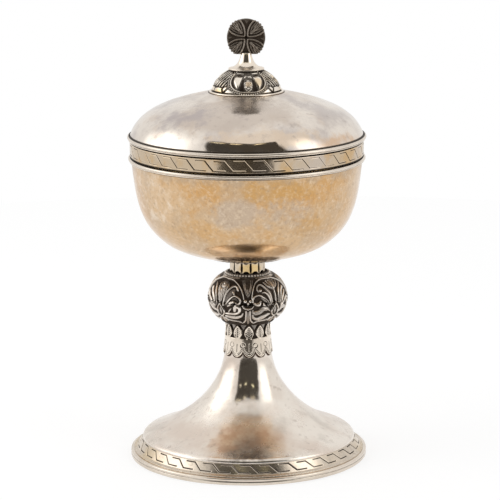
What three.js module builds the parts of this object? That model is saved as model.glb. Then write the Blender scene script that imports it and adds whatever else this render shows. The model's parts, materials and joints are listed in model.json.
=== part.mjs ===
// A silver ciborium: a lidded cup on a knopped stem and a trumpet foot.
// Millimetres, Z up, the origin under the middle of the foot.
import * as THREE from "three";

// Foot: a wire to stand on, an engraved bevel band and the raised trumpet
const footRadius = 66;
const footWireHeight = 3.9;
const footWireWidth = 3.6;
const footBandHeight = 6.3;
const footBandWall = 1.1;
const footBandTopRadius = 59.2;
const footBorderWidth = 1.8;
const footBorderThickness = 0.6;
const shoulderRise = 2.35;
const shoulderInset = 1.5;
const shellWall = 1.2;
const trumpetTop = 58;
const trumpetTopRadius = 13.25;
const neckTop = 67;

// Stem sleeve and the leaf strip wrapped round it
const sleeveHeight = 9.3;
const sleeveTopRadius = 11.5;
const sleeveWall = 1.2;
const leafCount = 12;
const leafStripWall = 0.4;
const leafTipHeight = 75.4;
const leafBandTop = 68.4;
const leafBandBottom = 61.4;
const leafPointBottom = 57.8;
const leafShare = 0.72;

// Knop: two raised halves round a spacer tube, with a beaded ring on top
const knopRadius = 22.3;
const knopSwell = 14;
const knopHeight = 26.6;
const knopRoundness = 1.1;
const knopWall = 1.4;
const spacerWall = 3;
const beadRingWidth = 1.6;
const beadRingHeight = 1.5;
const beadRingGap = 1.15;

// Neck collar, calyx plate and cup
const collarHeight = 9.5;
const collarRadius = 9.75;
const collarWall = 1.2;
const calyxRadius = 23;
const calyxWall = 0.8;
const calyxRise = 0.55;
const bowlRadius = 63.4;
const bowlDepth = 56;
const bowlWall = 0.8;
const bowlFootRadius = 17;
const bowlTurnRadius = 44.2;
const bowlTurnHeight = 7.9;
const bowlRimHeight = 2.6;
const bowlWireHeight = 2.5;
const bowlWireWidth = 1.7;
const lipHeight = 8.6;
const lipWall = 1;

// Lid: engraved band, wire and raised dome
const lidSeatGap = 0.3;
const lidBandHeight = 8.95;
const lidBandProud = 0.8;
const lidBandWall = 1.2;
const lidWireHeight = 2.7;
const lidWireWidth = 1.4;
const domeLipInset = 0.2;
const domeRise = 23.15;
const domeWall = 1;

// Boss under the finial, with its base wire
const bossRadius = 19.1;
const bossHeight = 12.45;
const bossWall = 1;
const bossTopRadius = 9.2;
const bossWireWidth = 1.2;
const bossWireHeight = 1;

// Finial: a polished neck that carries the cross disc
const flangeRadius = 9.75;
const flangeThickness = 0.7;
const flangeBevel = 0.2;
const finialNeckHeight = 9;
const finialNeckTopRadius = 2.4;
const discRadius = 10.5;
const discTipRadius = 11.2;
const discThickness = 3;
const discNotchHeight = 1.5;
const discNotchHalfWidth = 3.4;
const discTeeth = 5;
const discToothSpan = 24;
const discSteps = 120;

// Rods, nuts and washers that pull the stack together
const rodRadius = 2.5;
const rodHeadGap = 0.95;
const rodHeadThickness = 1.5;
const rodSpigotRadius = 4.6;
const rodTail = 2.5;
const footWasherHeight = 50;
const footWasherThickness = 2;
const footNutSize = 10;
const footNutThickness = 5;
const studRadius = 1.8;
const studTail = 1.5;
const studDepth = 4.3;
const lidWasherRadius = 6;
const lidWasherThickness = 0.9;
const lidNutSize = 7;
const lidNutThickness = 2.8;

// How far the corners of a wire are rounded off
const wireRounding = 0.5;

// Clearances: between soldered rings, round a rod, and where a piece is fitted to a curve
const solderGap = 0.1;
const rodGap = 0.3;
const seatGap = 0.3;

// Sides of the turned pieces
const wideSides = 40;
const stemSides = 32;
const smallSides = 16;
const curveSteps = 6;

// Heights of the seats, from the table up
const footBandTop = footWireHeight + footBandHeight;
const shoulderHeight = footBandTop + shoulderRise;
const knopBottom = neckTop + sleeveHeight;
const knopTop = knopBottom + knopHeight;
const knopMiddle = knopBottom + knopHeight / 2;
const collarTop = knopTop + collarHeight;
const bowlBottom = collarTop + calyxWall;
const bowlRim = bowlBottom + bowlDepth;
const bowlWireBottom = bowlRim - bowlWireHeight;
const lidBandBottom = bowlRim + lidSeatGap;
const lidBandTop = lidBandBottom + lidBandHeight;
const domeFoot = lidBandTop + lidWireHeight;
const domeTop = domeFoot + domeRise;
const domeUnderside = domeTop - domeWall;
const bossTop = domeTop + bossHeight;
const finialNeckTop = bossTop + finialNeckHeight;
const discMiddle = finialNeckTop + discRadius - discNotchHeight;

// Radii that follow from their neighbours
const bowlWireRadius = bowlRadius + bowlWireWidth + solderGap;
const lidBandRadius = bowlRadius + lidBandProud;
const lidWireRadius = lidBandRadius + lidWireWidth;
const domeRadius = lidBandRadius - domeLipInset;
const lipRadius = bowlRadius - bowlWall - solderGap;
const beadRingRadius = collarRadius + beadRingGap + beadRingWidth / 2;
const rodHeadRadius = collarRadius - collarWall - rodHeadGap;
const calyxSeatRadius = bowlFootRadius + seatGap;
const rodHole = rodRadius + rodGap;
const studHole = studRadius + rodGap;
const spacerRadius = rodHole + spacerWall;
const domeFlatRadius = bossRadius + solderGap + bossWireWidth + seatGap;

const metals = {
  silver: new THREE.MeshStandardMaterial({ color: 0xbdb6ad, roughness: 0.34, metalness: 1 }),
  gilt: new THREE.MeshStandardMaterial({ color: 0xb79c72, roughness: 0.36, metalness: 1 }),
  tarnished: new THREE.MeshStandardMaterial({ color: 0xa48f76, roughness: 0.38, metalness: 1 }),
  oxidised: new THREE.MeshStandardMaterial({ color: 0x4b463f, roughness: 0.45, metalness: 1 }),
  polished: new THREE.MeshStandardMaterial({ color: 0xded8cf, roughness: 0.18, metalness: 1 }),
  steel: new THREE.MeshStandardMaterial({ color: 0x8d8f90, roughness: 0.4, metalness: 1 }),
};

const ciborium = new THREE.Group();
const base = new THREE.Group();
const lid = new THREE.Group();
ciborium.add(base, lid);

function addPiece(body, name, geometry, metal) {
  const piece = new THREE.Mesh(geometry, metal);
  piece.name = name;
  body.add(piece);
  return piece;
}

function point(radius, height) {
  return new THREE.Vector2(radius, height);
}

// A solid of revolution from a closed outline of radii and heights
function turned(outline, sides) {
  const loop = outline.map((p) => p.clone());
  if (THREE.ShapeUtils.isClockWise(loop)) {
    loop.reverse();
  }
  loop.push(loop[0].clone());
  const geometry = new THREE.LatheGeometry(loop, sides);
  geometry.rotateX(Math.PI / 2);
  return geometry;
}

// A smooth curve whose two handles are shares of the way across and up
function curve(start, handleA, handleB, end, steps) {
  const place = ([across, up]) =>
    point(start.x + across * (end.x - start.x), start.y + up * (end.y - start.y));
  const bezier = new THREE.CubicBezierCurve(start, place(handleA), place(handleB), end);
  return bezier.getPoints(steps);
}

// The nearer of straight across and straight up, so that a sheet's edge is cut square
function squareOf(normal) {
  return Math.abs(normal.x) > Math.abs(normal.y)
    ? point(Math.sign(normal.x), 0)
    : point(0, Math.sign(normal.y));
}

// The same line moved to its left by the wall, which is inwards on a line that climbs
function inset(line, wall) {
  const normals = [];
  for (let i = 1; i < line.length; i += 1) {
    const along = line[i].clone().sub(line[i - 1]).normalize();
    normals.push(point(-along.y, along.x));
  }
  return line.map((p, i) => {
    if (i === 0 || i === line.length - 1) {
      return p.clone().add(squareOf(normals[Math.max(i - 1, 0)]).multiplyScalar(wall));
    }
    const sum = normals[i - 1].clone().add(normals[i]);
    return p.clone().add(sum.multiplyScalar(wall / (1 + normals[i - 1].dot(normals[i]))));
  });
}

// A sheet-metal shell: the outer line with its wall
function shell(line, wall, sides) {
  return turned([...line, ...inset(line, wall).reverse()], sides);
}

// A plain ring or tube
function ring(inner, outer, bottom, top, sides) {
  const outline = [point(inner, bottom), point(outer, bottom), point(outer, top), point(inner, top)];
  return turned(outline, sides);
}

// The radius of a climbing line at a height
function radiusAt(line, height) {
  const i = line.findIndex((p, k) => k > 0 && (p.y - height) * (line[k - 1].y - height) <= 0);
  const share = (height - line[i - 1].y) / (line[i].y - line[i - 1].y);
  return THREE.MathUtils.lerp(line[i - 1].x, line[i].x, share);
}

// The outside radius of the stem between the trumpet and the knop
function stemRadius(height) {
  const share = (height - trumpetTop) / (knopBottom - trumpetTop);
  return THREE.MathUtils.lerp(trumpetTopRadius, sleeveTopRadius, share);
}

function hexNut(size, thickness, hole, bottom) {
  const corner = size / Math.sqrt(3);
  const corners = Array.from({ length: 6 }, (_, k) => {
    const turn = (k * Math.PI) / 3;
    return point(corner * Math.cos(turn), corner * Math.sin(turn));
  });
  const shape = new THREE.Shape(corners);
  shape.holes.push(new THREE.Path().absarc(0, 0, hole, 0, 2 * Math.PI, true));
  const geometry = new THREE.ExtrudeGeometry(shape, {
    depth: thickness,
    bevelEnabled: false,
    curveSegments: smallSides / 2,
  });
  geometry.translate(0, 0, bottom);
  return geometry;
}

// Foot
function footWire() {
  const inner = footRadius - footWireWidth;
  return turned([
    point(inner, 0),
    point(footRadius - wireRounding, 0),
    point(footRadius, wireRounding),
    point(footRadius, footWireHeight - 2 * wireRounding),
    point(footRadius - wireRounding, footWireHeight - wireRounding / 2),
    point(footRadius - 2 * wireRounding, footWireHeight),
    point(inner, footWireHeight),
  ], wideSides);
}

function footBand() {
  const borderOuter = footRadius - footBorderWidth;
  const borderInner = footRadius - footWireWidth;
  const borderTop = footWireHeight + footBorderThickness;
  const skirtTop = footWireHeight + 2 * footBorderThickness;
  return turned([
    point(borderOuter, footWireHeight),
    point(borderOuter, borderTop),
    point(borderInner, skirtTop),
    point(footBandTopRadius, footBandTop),
    point(footBandTopRadius - footBandWall, footBandTop),
    point(footBandTopRadius - footBandWall, footBandTop - footBandWall),
    point(borderInner - footBandWall, footWireHeight),
  ], wideSides);
}

const trumpetLine = [
  point(footBandTopRadius, footBandTop),
  point(footBandTopRadius, footBandTop + shoulderRise * 0.3),
  point(footBandTopRadius - shoulderInset * 0.3, footBandTop + shoulderRise * 0.62),
  ...curve(
    point(footBandTopRadius - shoulderInset, shoulderHeight),
    [0.694, 0.225],
    [0.974, 0.705],
    point(trumpetTopRadius, trumpetTop),
    curveSteps + 3,
  ),
  point(stemRadius(neckTop), neckTop),
];

// The foot's washer rises until its edge meets the inside of the trumpet
const trumpetInside = inset(trumpetLine, shellWall);
const footWasherTop = footWasherHeight + footWasherThickness;
const footWasherRadius = radiusAt(trumpetInside, footWasherTop) - seatGap;

// Leaf strip: one sheet with pointed leaves standing up and hanging down
function leafStrip() {
  const stepsPerLeaf = 8;
  const columns = leafCount * stepsPerLeaf;
  const positions = [];
  const corner = (turn, height, out) => {
    const radius = stemRadius(height) + solderGap + out;
    positions.push(radius * Math.sin(turn), -radius * Math.cos(turn), height);
  };
  for (let k = 0; k < columns; k += 1) {
    const turn = (k / columns) * 2 * Math.PI;
    const across = Math.abs(((k / stepsPerLeaf + 0.5) % 1) - 0.5) * 2;
    const leaf = Math.max(0, 1 - across / leafShare);
    const upper = leafBandTop + (leafTipHeight - leafBandTop) * Math.sin((leaf * Math.PI) / 2);
    const lower = leafPointBottom + (leafBandBottom - leafPointBottom) * across ** 1.5;
    corner(turn, lower, 0);
    corner(turn, lower, leafStripWall);
    corner(turn, upper, leafStripWall);
    corner(turn, upper, 0);
  }
  const index = [];
  for (let k = 0; k < columns; k += 1) {
    const here = 4 * k;
    const next = 4 * ((k + 1) % columns);
    for (let edge = 0; edge < 4; edge += 1) {
      const after = (edge + 1) % 4;
      index.push(here + edge, next + edge, here + after);
      index.push(next + edge, next + after, here + after);
    }
  }
  const geometry = new THREE.BufferGeometry();
  geometry.setAttribute("position", new THREE.Float32BufferAttribute(positions, 3));
  geometry.setIndex(index);
  return geometry;
}

// Knop halves follow an arc that leaves the flats of the top and bottom
function knopArc(side) {
  const halfHeight = (knopHeight / 2) * knopRoundness;
  const last = Math.asin(1 / knopRoundness);
  const points = [];
  for (let k = 0; k <= curveSteps; k += 1) {
    const turn = (last * k) / curveSteps;
    const radius = knopRadius - knopSwell * (1 - Math.cos(turn));
    points.push(point(radius, knopMiddle + side * halfHeight * Math.sin(turn)));
  }
  return points;
}

function knopLower() {
  return shell([point(rodHole, knopBottom), ...knopArc(-1).reverse()], knopWall, stemSides);
}

function knopUpper() {
  return shell([...knopArc(1), point(rodHole, knopTop)], knopWall, stemSides);
}

function beadRing() {
  const half = beadRingWidth / 2;
  const top = knopTop + beadRingHeight;
  return turned([
    point(beadRingRadius - half, knopTop),
    point(beadRingRadius + half, knopTop),
    point(beadRingRadius + half, knopTop + beadRingHeight * 0.5),
    point(beadRingRadius + half * 0.5, top),
    point(beadRingRadius - half * 0.5, top),
    point(beadRingRadius - half, knopTop + beadRingHeight * 0.5),
  ], stemSides);
}

// The calyx plate is a shallow dish under the flat of the cup
function calyxPlate() {
  return shell([
    point(rodSpigotRadius + rodGap, collarTop),
    point(calyxSeatRadius, collarTop),
    point(calyxRadius, collarTop + calyxRise),
  ], calyxWall, stemSides);
}

// Cup
const bowlTurn = point(bowlTurnRadius, bowlBottom + bowlTurnHeight);
const bowlLine = [
  point(0, bowlBottom),
  ...curve(
    point(bowlFootRadius, bowlBottom),
    [0.313, 0.038],
    [0.787, 0.492],
    bowlTurn,
    curveSteps - 3,
  ).slice(0, -1),
  ...curve(
    bowlTurn,
    [0.807, 0.239],
    [0.888, 0.535],
    point(bowlRadius, bowlRim - bowlRimHeight),
    curveSteps,
  ),
  point(bowlRadius, bowlRim),
];

// A cup is closed at the axis, so its inner line ends there too
function bowl() {
  const inside = inset(bowlLine, bowlWall);
  inside[0].x = 0;
  const loop = [...bowlLine, ...inside.reverse()];
  const geometry = new THREE.LatheGeometry(loop, wideSides);
  geometry.rotateX(Math.PI / 2);
  return geometry;
}

function bowlWire() {
  const inner = bowlRadius + solderGap;
  return turned([
    point(inner, bowlWireBottom),
    point(bowlWireRadius - wireRounding, bowlWireBottom),
    point(bowlWireRadius, bowlWireBottom + wireRounding),
    point(bowlWireRadius, bowlRim - wireRounding),
    point(bowlWireRadius - wireRounding, bowlRim),
    point(inner, bowlRim),
  ], wideSides);
}

function bowlLip() {
  const bottom = bowlRim - bowlRimHeight;
  return ring(lipRadius - lipWall, lipRadius, bottom, bottom + lipHeight, wideSides);
}

// Lid
function lidWire() {
  const inner = domeRadius + solderGap;
  return turned([
    point(inner, lidBandTop),
    point(lidWireRadius - wireRounding, lidBandTop),
    point(lidWireRadius, lidBandTop + wireRounding),
    point(lidWireRadius, domeFoot - wireRounding),
    point(lidWireRadius - wireRounding, domeFoot),
    point(inner, domeFoot),
  ], wideSides);
}

const domeLine = [
  point(domeRadius, lidBandTop),
  ...curve(
    point(domeRadius, domeFoot),
    [0.122, 0.653],
    [0.56, 0.806],
    point(domeFlatRadius, domeTop),
    curveSteps + 1,
  ),
  point(studHole, domeTop),
];

const bossLine = [
  ...curve(
    point(bossRadius, domeTop),
    [0, 0.288],
    [0.171, 0.634],
    point(bossTopRadius, bossTop),
    curveSteps - 2,
  ),
  point(studHole, bossTop),
];

// The base wire lies on the flat of the dome, round the boss
function bossWire() {
  const inner = bossRadius + solderGap;
  const outer = inner + bossWireWidth;
  const top = domeTop + bossWireHeight;
  return turned([
    point(inner, domeTop),
    point(outer, domeTop),
    point(outer, top - wireRounding),
    point(outer - wireRounding, top),
    point(inner, top),
  ], stemSides);
}

function finialNeck() {
  const flangeTop = bossTop + flangeThickness;
  const bore = studHole;
  const outside = curve(
    point(flangeRadius - flangeBevel, flangeTop),
    [0.43, 0.05],
    [0.87, 0.25],
    point(finialNeckTopRadius, finialNeckTop),
    curveSteps,
  );
  const loop = [
    point(bore, bossTop),
    point(flangeRadius - flangeBevel, bossTop),
    point(flangeRadius, bossTop + flangeThickness * 0.5),
    ...outside,
    point(0, finialNeckTop),
    point(0, bossTop + studDepth + rodGap),
    point(bore, bossTop + studDepth + rodGap),
    point(bore, bossTop),
  ];
  const geometry = new THREE.LatheGeometry(loop, smallSides);
  geometry.rotateX(Math.PI / 2);
  return geometry;
}

// The disc: a round plate whose leaf tips break the rim on the diagonals
function crossDisc() {
  const outline = [];
  for (let k = 0; k < discSteps; k += 1) {
    const degrees = (k * 360) / discSteps;
    const fromDiagonal = ((degrees % 90) - 45) / discToothSpan;
    const tooth = Math.cos(fromDiagonal * discTeeth * Math.PI) * 0.5 + 0.5;
    const swell = Math.abs(fromDiagonal) < 1 ? 1 - fromDiagonal ** 2 : 0;
    const radius = THREE.MathUtils.lerp(discRadius, discTipRadius, swell * (0.25 + 0.75 * tooth));
    const turn = THREE.MathUtils.degToRad(degrees);
    outline.push(point(radius * Math.cos(turn), radius * Math.sin(turn)));
  }
  const notchTop = discNotchHeight - discRadius;
  const kept = outline.filter((p) => p.y > notchTop || Math.abs(p.x) > discNotchHalfWidth);
  const split = kept.findIndex((p) => p.y < 0 && p.x > -discNotchHalfWidth);
  kept.splice(split, 0, point(-discNotchHalfWidth, notchTop), point(discNotchHalfWidth, notchTop));
  const geometry = new THREE.ExtrudeGeometry(new THREE.Shape(kept), {
    depth: discThickness,
    bevelEnabled: false,
  });
  geometry.rotateX(Math.PI / 2);
  geometry.translate(0, discThickness / 2, discMiddle);
  return geometry;
}

// The tie rod's head is soldered under the cup, and its tail takes the nut in the foot
function tieRod() {
  const headBottom = collarTop - rodHeadThickness;
  const tail = footWasherHeight - footNutThickness - rodTail;
  const loop = [
    point(0, tail),
    point(rodRadius, tail),
    point(rodRadius, headBottom),
    point(rodHeadRadius, headBottom),
    point(rodHeadRadius, collarTop),
    point(rodSpigotRadius, collarTop),
    point(rodSpigotRadius, bowlBottom),
    point(0, bowlBottom),
  ];
  const geometry = new THREE.LatheGeometry(loop, smallSides);
  geometry.rotateX(Math.PI / 2);
  return geometry;
}

function finialStud() {
  const bottom = domeUnderside - lidWasherThickness - lidNutThickness - studTail;
  const loop = [
    point(0, bottom),
    point(studRadius, bottom),
    point(studRadius, bossTop + studDepth),
    point(0, bossTop + studDepth),
  ];
  const geometry = new THREE.LatheGeometry(loop, smallSides);
  geometry.rotateX(Math.PI / 2);
  return geometry;
}

addPiece(base, "foot_rim_wire", footWire(), metals.silver);
addPiece(base, "foot_band", footBand(), metals.gilt);
addPiece(base, "foot_shell", shell(trumpetLine, shellWall, wideSides), metals.silver);
addPiece(
  base,
  "foot_washer",
  ring(rodHole, footWasherRadius, footWasherHeight, footWasherTop, stemSides),
  metals.steel,
);
addPiece(
  base,
  "foot_nut",
  hexNut(footNutSize, footNutThickness, rodHole, footWasherHeight - footNutThickness),
  metals.steel,
);
addPiece(base, "tie_rod", tieRod(), metals.steel);
addPiece(
  base,
  "stem_sleeve",
  turned([
    point(stemRadius(neckTop) - sleeveWall, neckTop),
    point(stemRadius(neckTop), neckTop),
    point(sleeveTopRadius, knopBottom),
    point(sleeveTopRadius - sleeveWall, knopBottom),
  ], stemSides),
  metals.oxidised,
);
addPiece(base, "leaf_strip", leafStrip(), metals.silver);
addPiece(base, "knop_lower", knopLower(), metals.oxidised);
addPiece(base, "knop_upper", knopUpper(), metals.oxidised);
addPiece(
  base,
  "knop_spacer",
  ring(rodHole, spacerRadius, knopBottom + knopWall, knopTop - knopWall, smallSides),
  metals.steel,
);
addPiece(base, "bead_ring", beadRing(), metals.oxidised);
addPiece(
  base,
  "neck_collar",
  ring(collarRadius - collarWall, collarRadius, knopTop, collarTop, stemSides),
  metals.gilt,
);
addPiece(base, "calyx_plate", calyxPlate(), metals.oxidised);
addPiece(base, "bowl", bowl(), metals.tarnished);
addPiece(base, "bowl_wire", bowlWire(), metals.silver);
addPiece(base, "bowl_lip", bowlLip(), metals.gilt);

addPiece(
  lid,
  "lid_band",
  ring(lidBandRadius - lidBandWall, lidBandRadius, lidBandBottom, lidBandTop, wideSides),
  metals.gilt,
);
addPiece(lid, "lid_wire", lidWire(), metals.silver);
addPiece(lid, "lid_dome", shell(domeLine, domeWall, wideSides), metals.silver);
addPiece(lid, "boss", shell(bossLine, bossWall, stemSides), metals.oxidised);
addPiece(lid, "boss_wire", bossWire(), metals.polished);
addPiece(lid, "finial_neck", finialNeck(), metals.polished);
addPiece(lid, "cross_disc", crossDisc(), metals.oxidised);
addPiece(lid, "finial_stud", finialStud(), metals.steel);
addPiece(
  lid,
  "lid_washer",
  ring(studHole, lidWasherRadius, domeUnderside - lidWasherThickness, domeUnderside, smallSides),
  metals.steel,
);
addPiece(
  lid,
  "lid_nut",
  hexNut(
    lidNutSize,
    lidNutThickness,
    studHole,
    domeUnderside - lidWasherThickness - lidNutThickness,
  ),
  metals.steel,
);

export default ciborium;
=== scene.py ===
import json
import math

import bpy
import numpy as np
from mathutils import Matrix, Vector

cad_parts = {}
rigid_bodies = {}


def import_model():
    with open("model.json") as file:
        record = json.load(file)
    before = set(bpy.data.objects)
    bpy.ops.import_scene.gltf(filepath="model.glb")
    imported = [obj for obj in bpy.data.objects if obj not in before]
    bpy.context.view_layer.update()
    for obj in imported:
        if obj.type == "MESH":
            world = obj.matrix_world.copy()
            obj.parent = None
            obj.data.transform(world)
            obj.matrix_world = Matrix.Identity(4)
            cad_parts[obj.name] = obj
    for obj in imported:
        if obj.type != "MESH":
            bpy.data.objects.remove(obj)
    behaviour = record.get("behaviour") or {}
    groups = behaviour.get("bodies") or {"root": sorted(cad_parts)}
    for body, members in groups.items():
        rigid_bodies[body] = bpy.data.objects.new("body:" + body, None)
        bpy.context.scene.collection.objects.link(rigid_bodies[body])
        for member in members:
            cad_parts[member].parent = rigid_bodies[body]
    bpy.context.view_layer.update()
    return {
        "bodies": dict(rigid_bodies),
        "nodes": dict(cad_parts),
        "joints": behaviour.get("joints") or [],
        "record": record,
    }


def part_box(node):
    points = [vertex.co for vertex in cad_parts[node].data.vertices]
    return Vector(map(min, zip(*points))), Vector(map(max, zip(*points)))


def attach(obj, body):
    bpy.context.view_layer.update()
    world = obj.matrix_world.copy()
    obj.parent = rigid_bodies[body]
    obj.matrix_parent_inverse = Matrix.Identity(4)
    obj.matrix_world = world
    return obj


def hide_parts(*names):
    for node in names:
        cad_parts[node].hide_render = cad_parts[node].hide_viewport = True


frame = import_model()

# A silver ciborium: foot, stem, knop and cup in one body, the lid in the other.
# Everything is worked out in millimetres and turned into metres when a mesh is made.
mm = 0.001
fullTurn = 2 * math.pi
print("frame loaded with", len(frame["nodes"]), "nodes")


# Sizes read from the frame
def spanOf(node):  # outer radius, bottom and top of a turned node
    low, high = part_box(node)
    return high.x / mm, low.z / mm, high.z / mm


footWireRadius, floorLevel, footWireTop = spanOf("foot_rim_wire")
borderRadius, footBandBottom, footBandTop = spanOf("foot_band")
shellRadius, shellBottom, neckTop = spanOf("foot_shell")
leafPointBottom, leafTip = spanOf("leaf_strip")[1:]
sleeveRadius, sleeveBottom, knopBottom = spanOf("stem_sleeve")
knopRadius, knopMiddle = spanOf("knop_upper")[:2]
beadBottom, beadTop = spanOf("bead_ring")[1:]
collarRadius, collarBottom, collarTop = spanOf("neck_collar")
calyxRadius, calyxBottom, calyxTop = spanOf("calyx_plate")
bowlRadius, bowlBottom, bowlRim = spanOf("bowl")
bowlWireRadius, bowlWireBottom, bowlWireTop = spanOf("bowl_wire")
lipRadius, lipBottom, lipTop = spanOf("bowl_lip")
lidBandRadius, lidBandBottom, lidBandTop = spanOf("lid_band")
lidWireRadius, lidWireBottom, lidWireTop = spanOf("lid_wire")
domeRadius, domeBottom, domeTop = spanOf("lid_dome")
bossRadius, bossBottom, bossTop = spanOf("boss")
bossWireRadius, bossWireBottom, bossWireTop = spanOf("boss_wire")
flangeRadius, flangeBottom, finialNeckTop = spanOf("finial_neck")


# Outlines: points are (radius, height)
def line(points, step):  # straight stretches with a point about every step
    points = np.array(points, float)
    parts = [points[:1]]
    for a, b in zip(points, points[1:]):
        count = max(1, round(float(np.linalg.norm(b - a)) / step))
        parts.append(a + np.linspace(0, 1, count + 1)[1:, None] * (b - a))
    return np.concatenate(parts)


def bend(start, handleA, handleB, end, count):  # a smooth curve, handles as shares of the way across and up
    start, end = np.array(start, float), np.array(end, float)
    a = start + np.array(handleA) * (end - start)
    b = start + np.array(handleB) * (end - start)
    t = np.linspace(0, 1, count)[:, None]
    return (1 - t) ** 3 * start + 3 * t * (1 - t) ** 2 * a + 3 * t**2 * (1 - t) * b + t**3 * end


def arc(centre, radius, first, last, count):  # degrees, 0 outward and 90 up
    turn = np.radians(np.linspace(first, last, count))
    return np.stack([centre[0] + radius * np.cos(turn), centre[1] + radius * np.sin(turn)], axis=1)


def evened(points, step):  # the same line with a point every step of its length
    gaps = np.linalg.norm(np.diff(points, axis=0), axis=1)
    length = np.concatenate([[0], np.cumsum(gaps)])
    places = np.linspace(0, length[-1], max(2, round(length[-1] / step) + 1))
    return np.stack([np.interp(places, length, points[:, k]) for k in (0, 1)], axis=1)


def softened(points, radius, closed=True, steps=4):  # round off the corners
    points = [np.array(p, float) for p in points]
    count = len(points)
    result = []
    for k, p in enumerate(points):
        if not closed and k in (0, count - 1):
            result.append(p)
            continue
        before, after = points[k - 1], points[(k + 1) % count]
        reachA = min(radius, np.linalg.norm(before - p) * 0.45)
        reachB = min(radius, np.linalg.norm(after - p) * 0.45)
        a = p + (before - p) / np.linalg.norm(before - p) * reachA
        b = p + (after - p) / np.linalg.norm(after - p) * reachB
        for t in np.linspace(0, 1, steps):
            result.append((1 - t) ** 2 * a + 2 * t * (1 - t) * p + t**2 * b)
    return np.array(result)


def normalsOf(points, closed):  # outward normals of a line that climbs on its outside
    if closed:
        along = np.roll(points, -1, axis=0) - np.roll(points, 1, axis=0)
    else:
        along = np.gradient(points, axis=0)
    along /= np.linalg.norm(along, axis=1)[:, None] + 1e-9
    return np.stack([along[:, 1], -along[:, 0]], axis=1)


def inset(points, wall):  # the inner side of a sheet, in the order that closes the outline
    return (points - normalsOf(points, False) * wall)[::-1]


# Meshes
def gridPart(places, reliefAndShade, closedRows, faceKind=None):
    # Places is rows by columns by 3. Columns go round; rows close up or end in a pole or an open edge.
    rows, columns = places.shape[:2]
    index = np.arange(rows * columns).reshape(rows, columns)
    spread = np.abs(places - places[:, :1]).max(axis=(1, 2))
    pole = spread < 1e-6
    index[pole] = index[pole][:, :1]
    upper = np.roll(index, -1, axis=0) if closedRows else index[1:]
    lower = index if closedRows else index[:-1]
    kinds = np.zeros(rows, int) if faceKind is None else np.array(faceKind)
    kinds = np.repeat(kinds[: len(lower)], columns).reshape(len(lower), columns)
    lowerPole = pole if closedRows else pole[:-1]
    upperPole = np.roll(pole, -1) if closedRows else pole[1:]
    corners = np.stack([lower, np.roll(lower, -1, axis=1), np.roll(upper, -1, axis=1), upper], axis=2)
    plain = ~(lowerPole | upperPole)
    quads = corners[plain].reshape(-1, 4)
    fans = np.concatenate([
        corners[lowerPole & ~upperPole][:, :, [0, 2, 3]].reshape(-1, 3),
        corners[upperPole & ~lowerPole][:, :, [0, 1, 2]].reshape(-1, 3),
    ])
    fanKinds = np.concatenate([kinds[lowerPole & ~upperPole].ravel(), kinds[upperPole & ~lowerPole].ravel()])
    reliefAndShade = np.broadcast_to(reliefAndShade, (rows, columns))
    return places.reshape(-1, 3), reliefAndShade.ravel(), quads, fans, kinds[plain].ravel(), fanKinds


def buildMesh(name, parts):
    places, reliefs, quads, fans, quadKinds, fanKinds = [], [], [], [], [], []
    count = 0
    for part in parts:
        places.append(part[0])
        reliefs.append(part[1])
        quads.append(part[2] + count)
        fans.append(part[3] + count)
        quadKinds.append(part[4])
        fanKinds.append(part[5])
        count += len(part[0])
    places, reliefs = np.concatenate(places), np.concatenate(reliefs)
    quads, fans = np.concatenate(quads), np.concatenate(fans)
    used = np.zeros(count, bool)
    used[quads.ravel()] = True
    used[fans.ravel()] = True
    renumber = np.cumsum(used) - 1
    corners = renumber[np.concatenate([quads.ravel(), fans.ravel()])]
    starts = np.concatenate([np.arange(len(quads)) * 4, len(quads) * 4 + np.arange(len(fans)) * 3])
    mesh = bpy.data.meshes.new(name)
    mesh.vertices.add(int(used.sum()))
    mesh.vertices.foreach_set("co", (places[used] * mm).ravel())
    mesh.loops.add(len(corners))
    mesh.loops.foreach_set("vertex_index", corners)
    mesh.polygons.add(len(starts))
    mesh.polygons.foreach_set("loop_start", starts)
    mesh.polygons.foreach_set("material_index", np.concatenate(quadKinds + fanKinds))
    mesh.polygons.foreach_set("use_smooth", np.ones(len(starts), bool))
    mesh.update(calc_edges=True)
    reliefs = reliefs[used].astype(np.float32)
    mesh.attributes.new("reliefAndShade", "FLOAT", "POINT").data.foreach_set("value", reliefs)
    mesh.validate()
    return mesh


def around(angle, radius, height):  # angle 0 is the front, and it grows to the right as seen from there
    return np.stack([radius * np.sin(angle), -radius * np.cos(angle), height + 0 * angle], axis=-1)


# A turned part from runs of outline points, with an optional carving of its skin
def turnedPart(runs, columns, carve=None, turn=0.0, inner=()):
    kept = [runs[0]]
    for run in runs[1:]:
        same = np.linalg.norm(run[0] - kept[-1][-1]) < 1e-6
        kept.append(run[1:] if same else run)
    outline = np.concatenate(kept)
    closed = outline[0, 0] > 1e-6
    if closed and np.linalg.norm(outline[0] - outline[-1]) < 1e-6:
        outline = outline[:-1]
        kept[-1] = kept[-1][:-1]
    runOf = np.repeat(np.arange(len(kept)), [len(run) for run in kept])
    angle = np.arange(columns) * fullTurn / columns
    lift, reliefAndShade = 0.0, 1.0
    if carve:
        lift, reliefAndShade = carve(runOf, outline, angle)
    normal = normalsOf(outline, closed)
    radius = np.maximum(outline[:, :1] + normal[:, :1] * lift, 0) * np.ones_like(angle)
    height = outline[:, 1:] + normal[:, 1:] * lift + 0 * angle
    places = around(angle[None, :] + math.radians(turn), radius, height)
    kinds = np.isin(runOf, inner).astype(int)
    return gridPart(places, reliefAndShade, closed, kinds)


def addPiece(name, parts, body, nodes, slot, *materials):
    mesh = buildMesh(name, parts if isinstance(parts, list) else [parts])
    for material in materials:
        mesh.materials.append(material)
    piece = bpy.data.objects.new(name, mesh)
    bpy.context.scene.collection.objects.link(piece)
    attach(piece, body)
    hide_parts(*nodes)
    return piece


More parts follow.
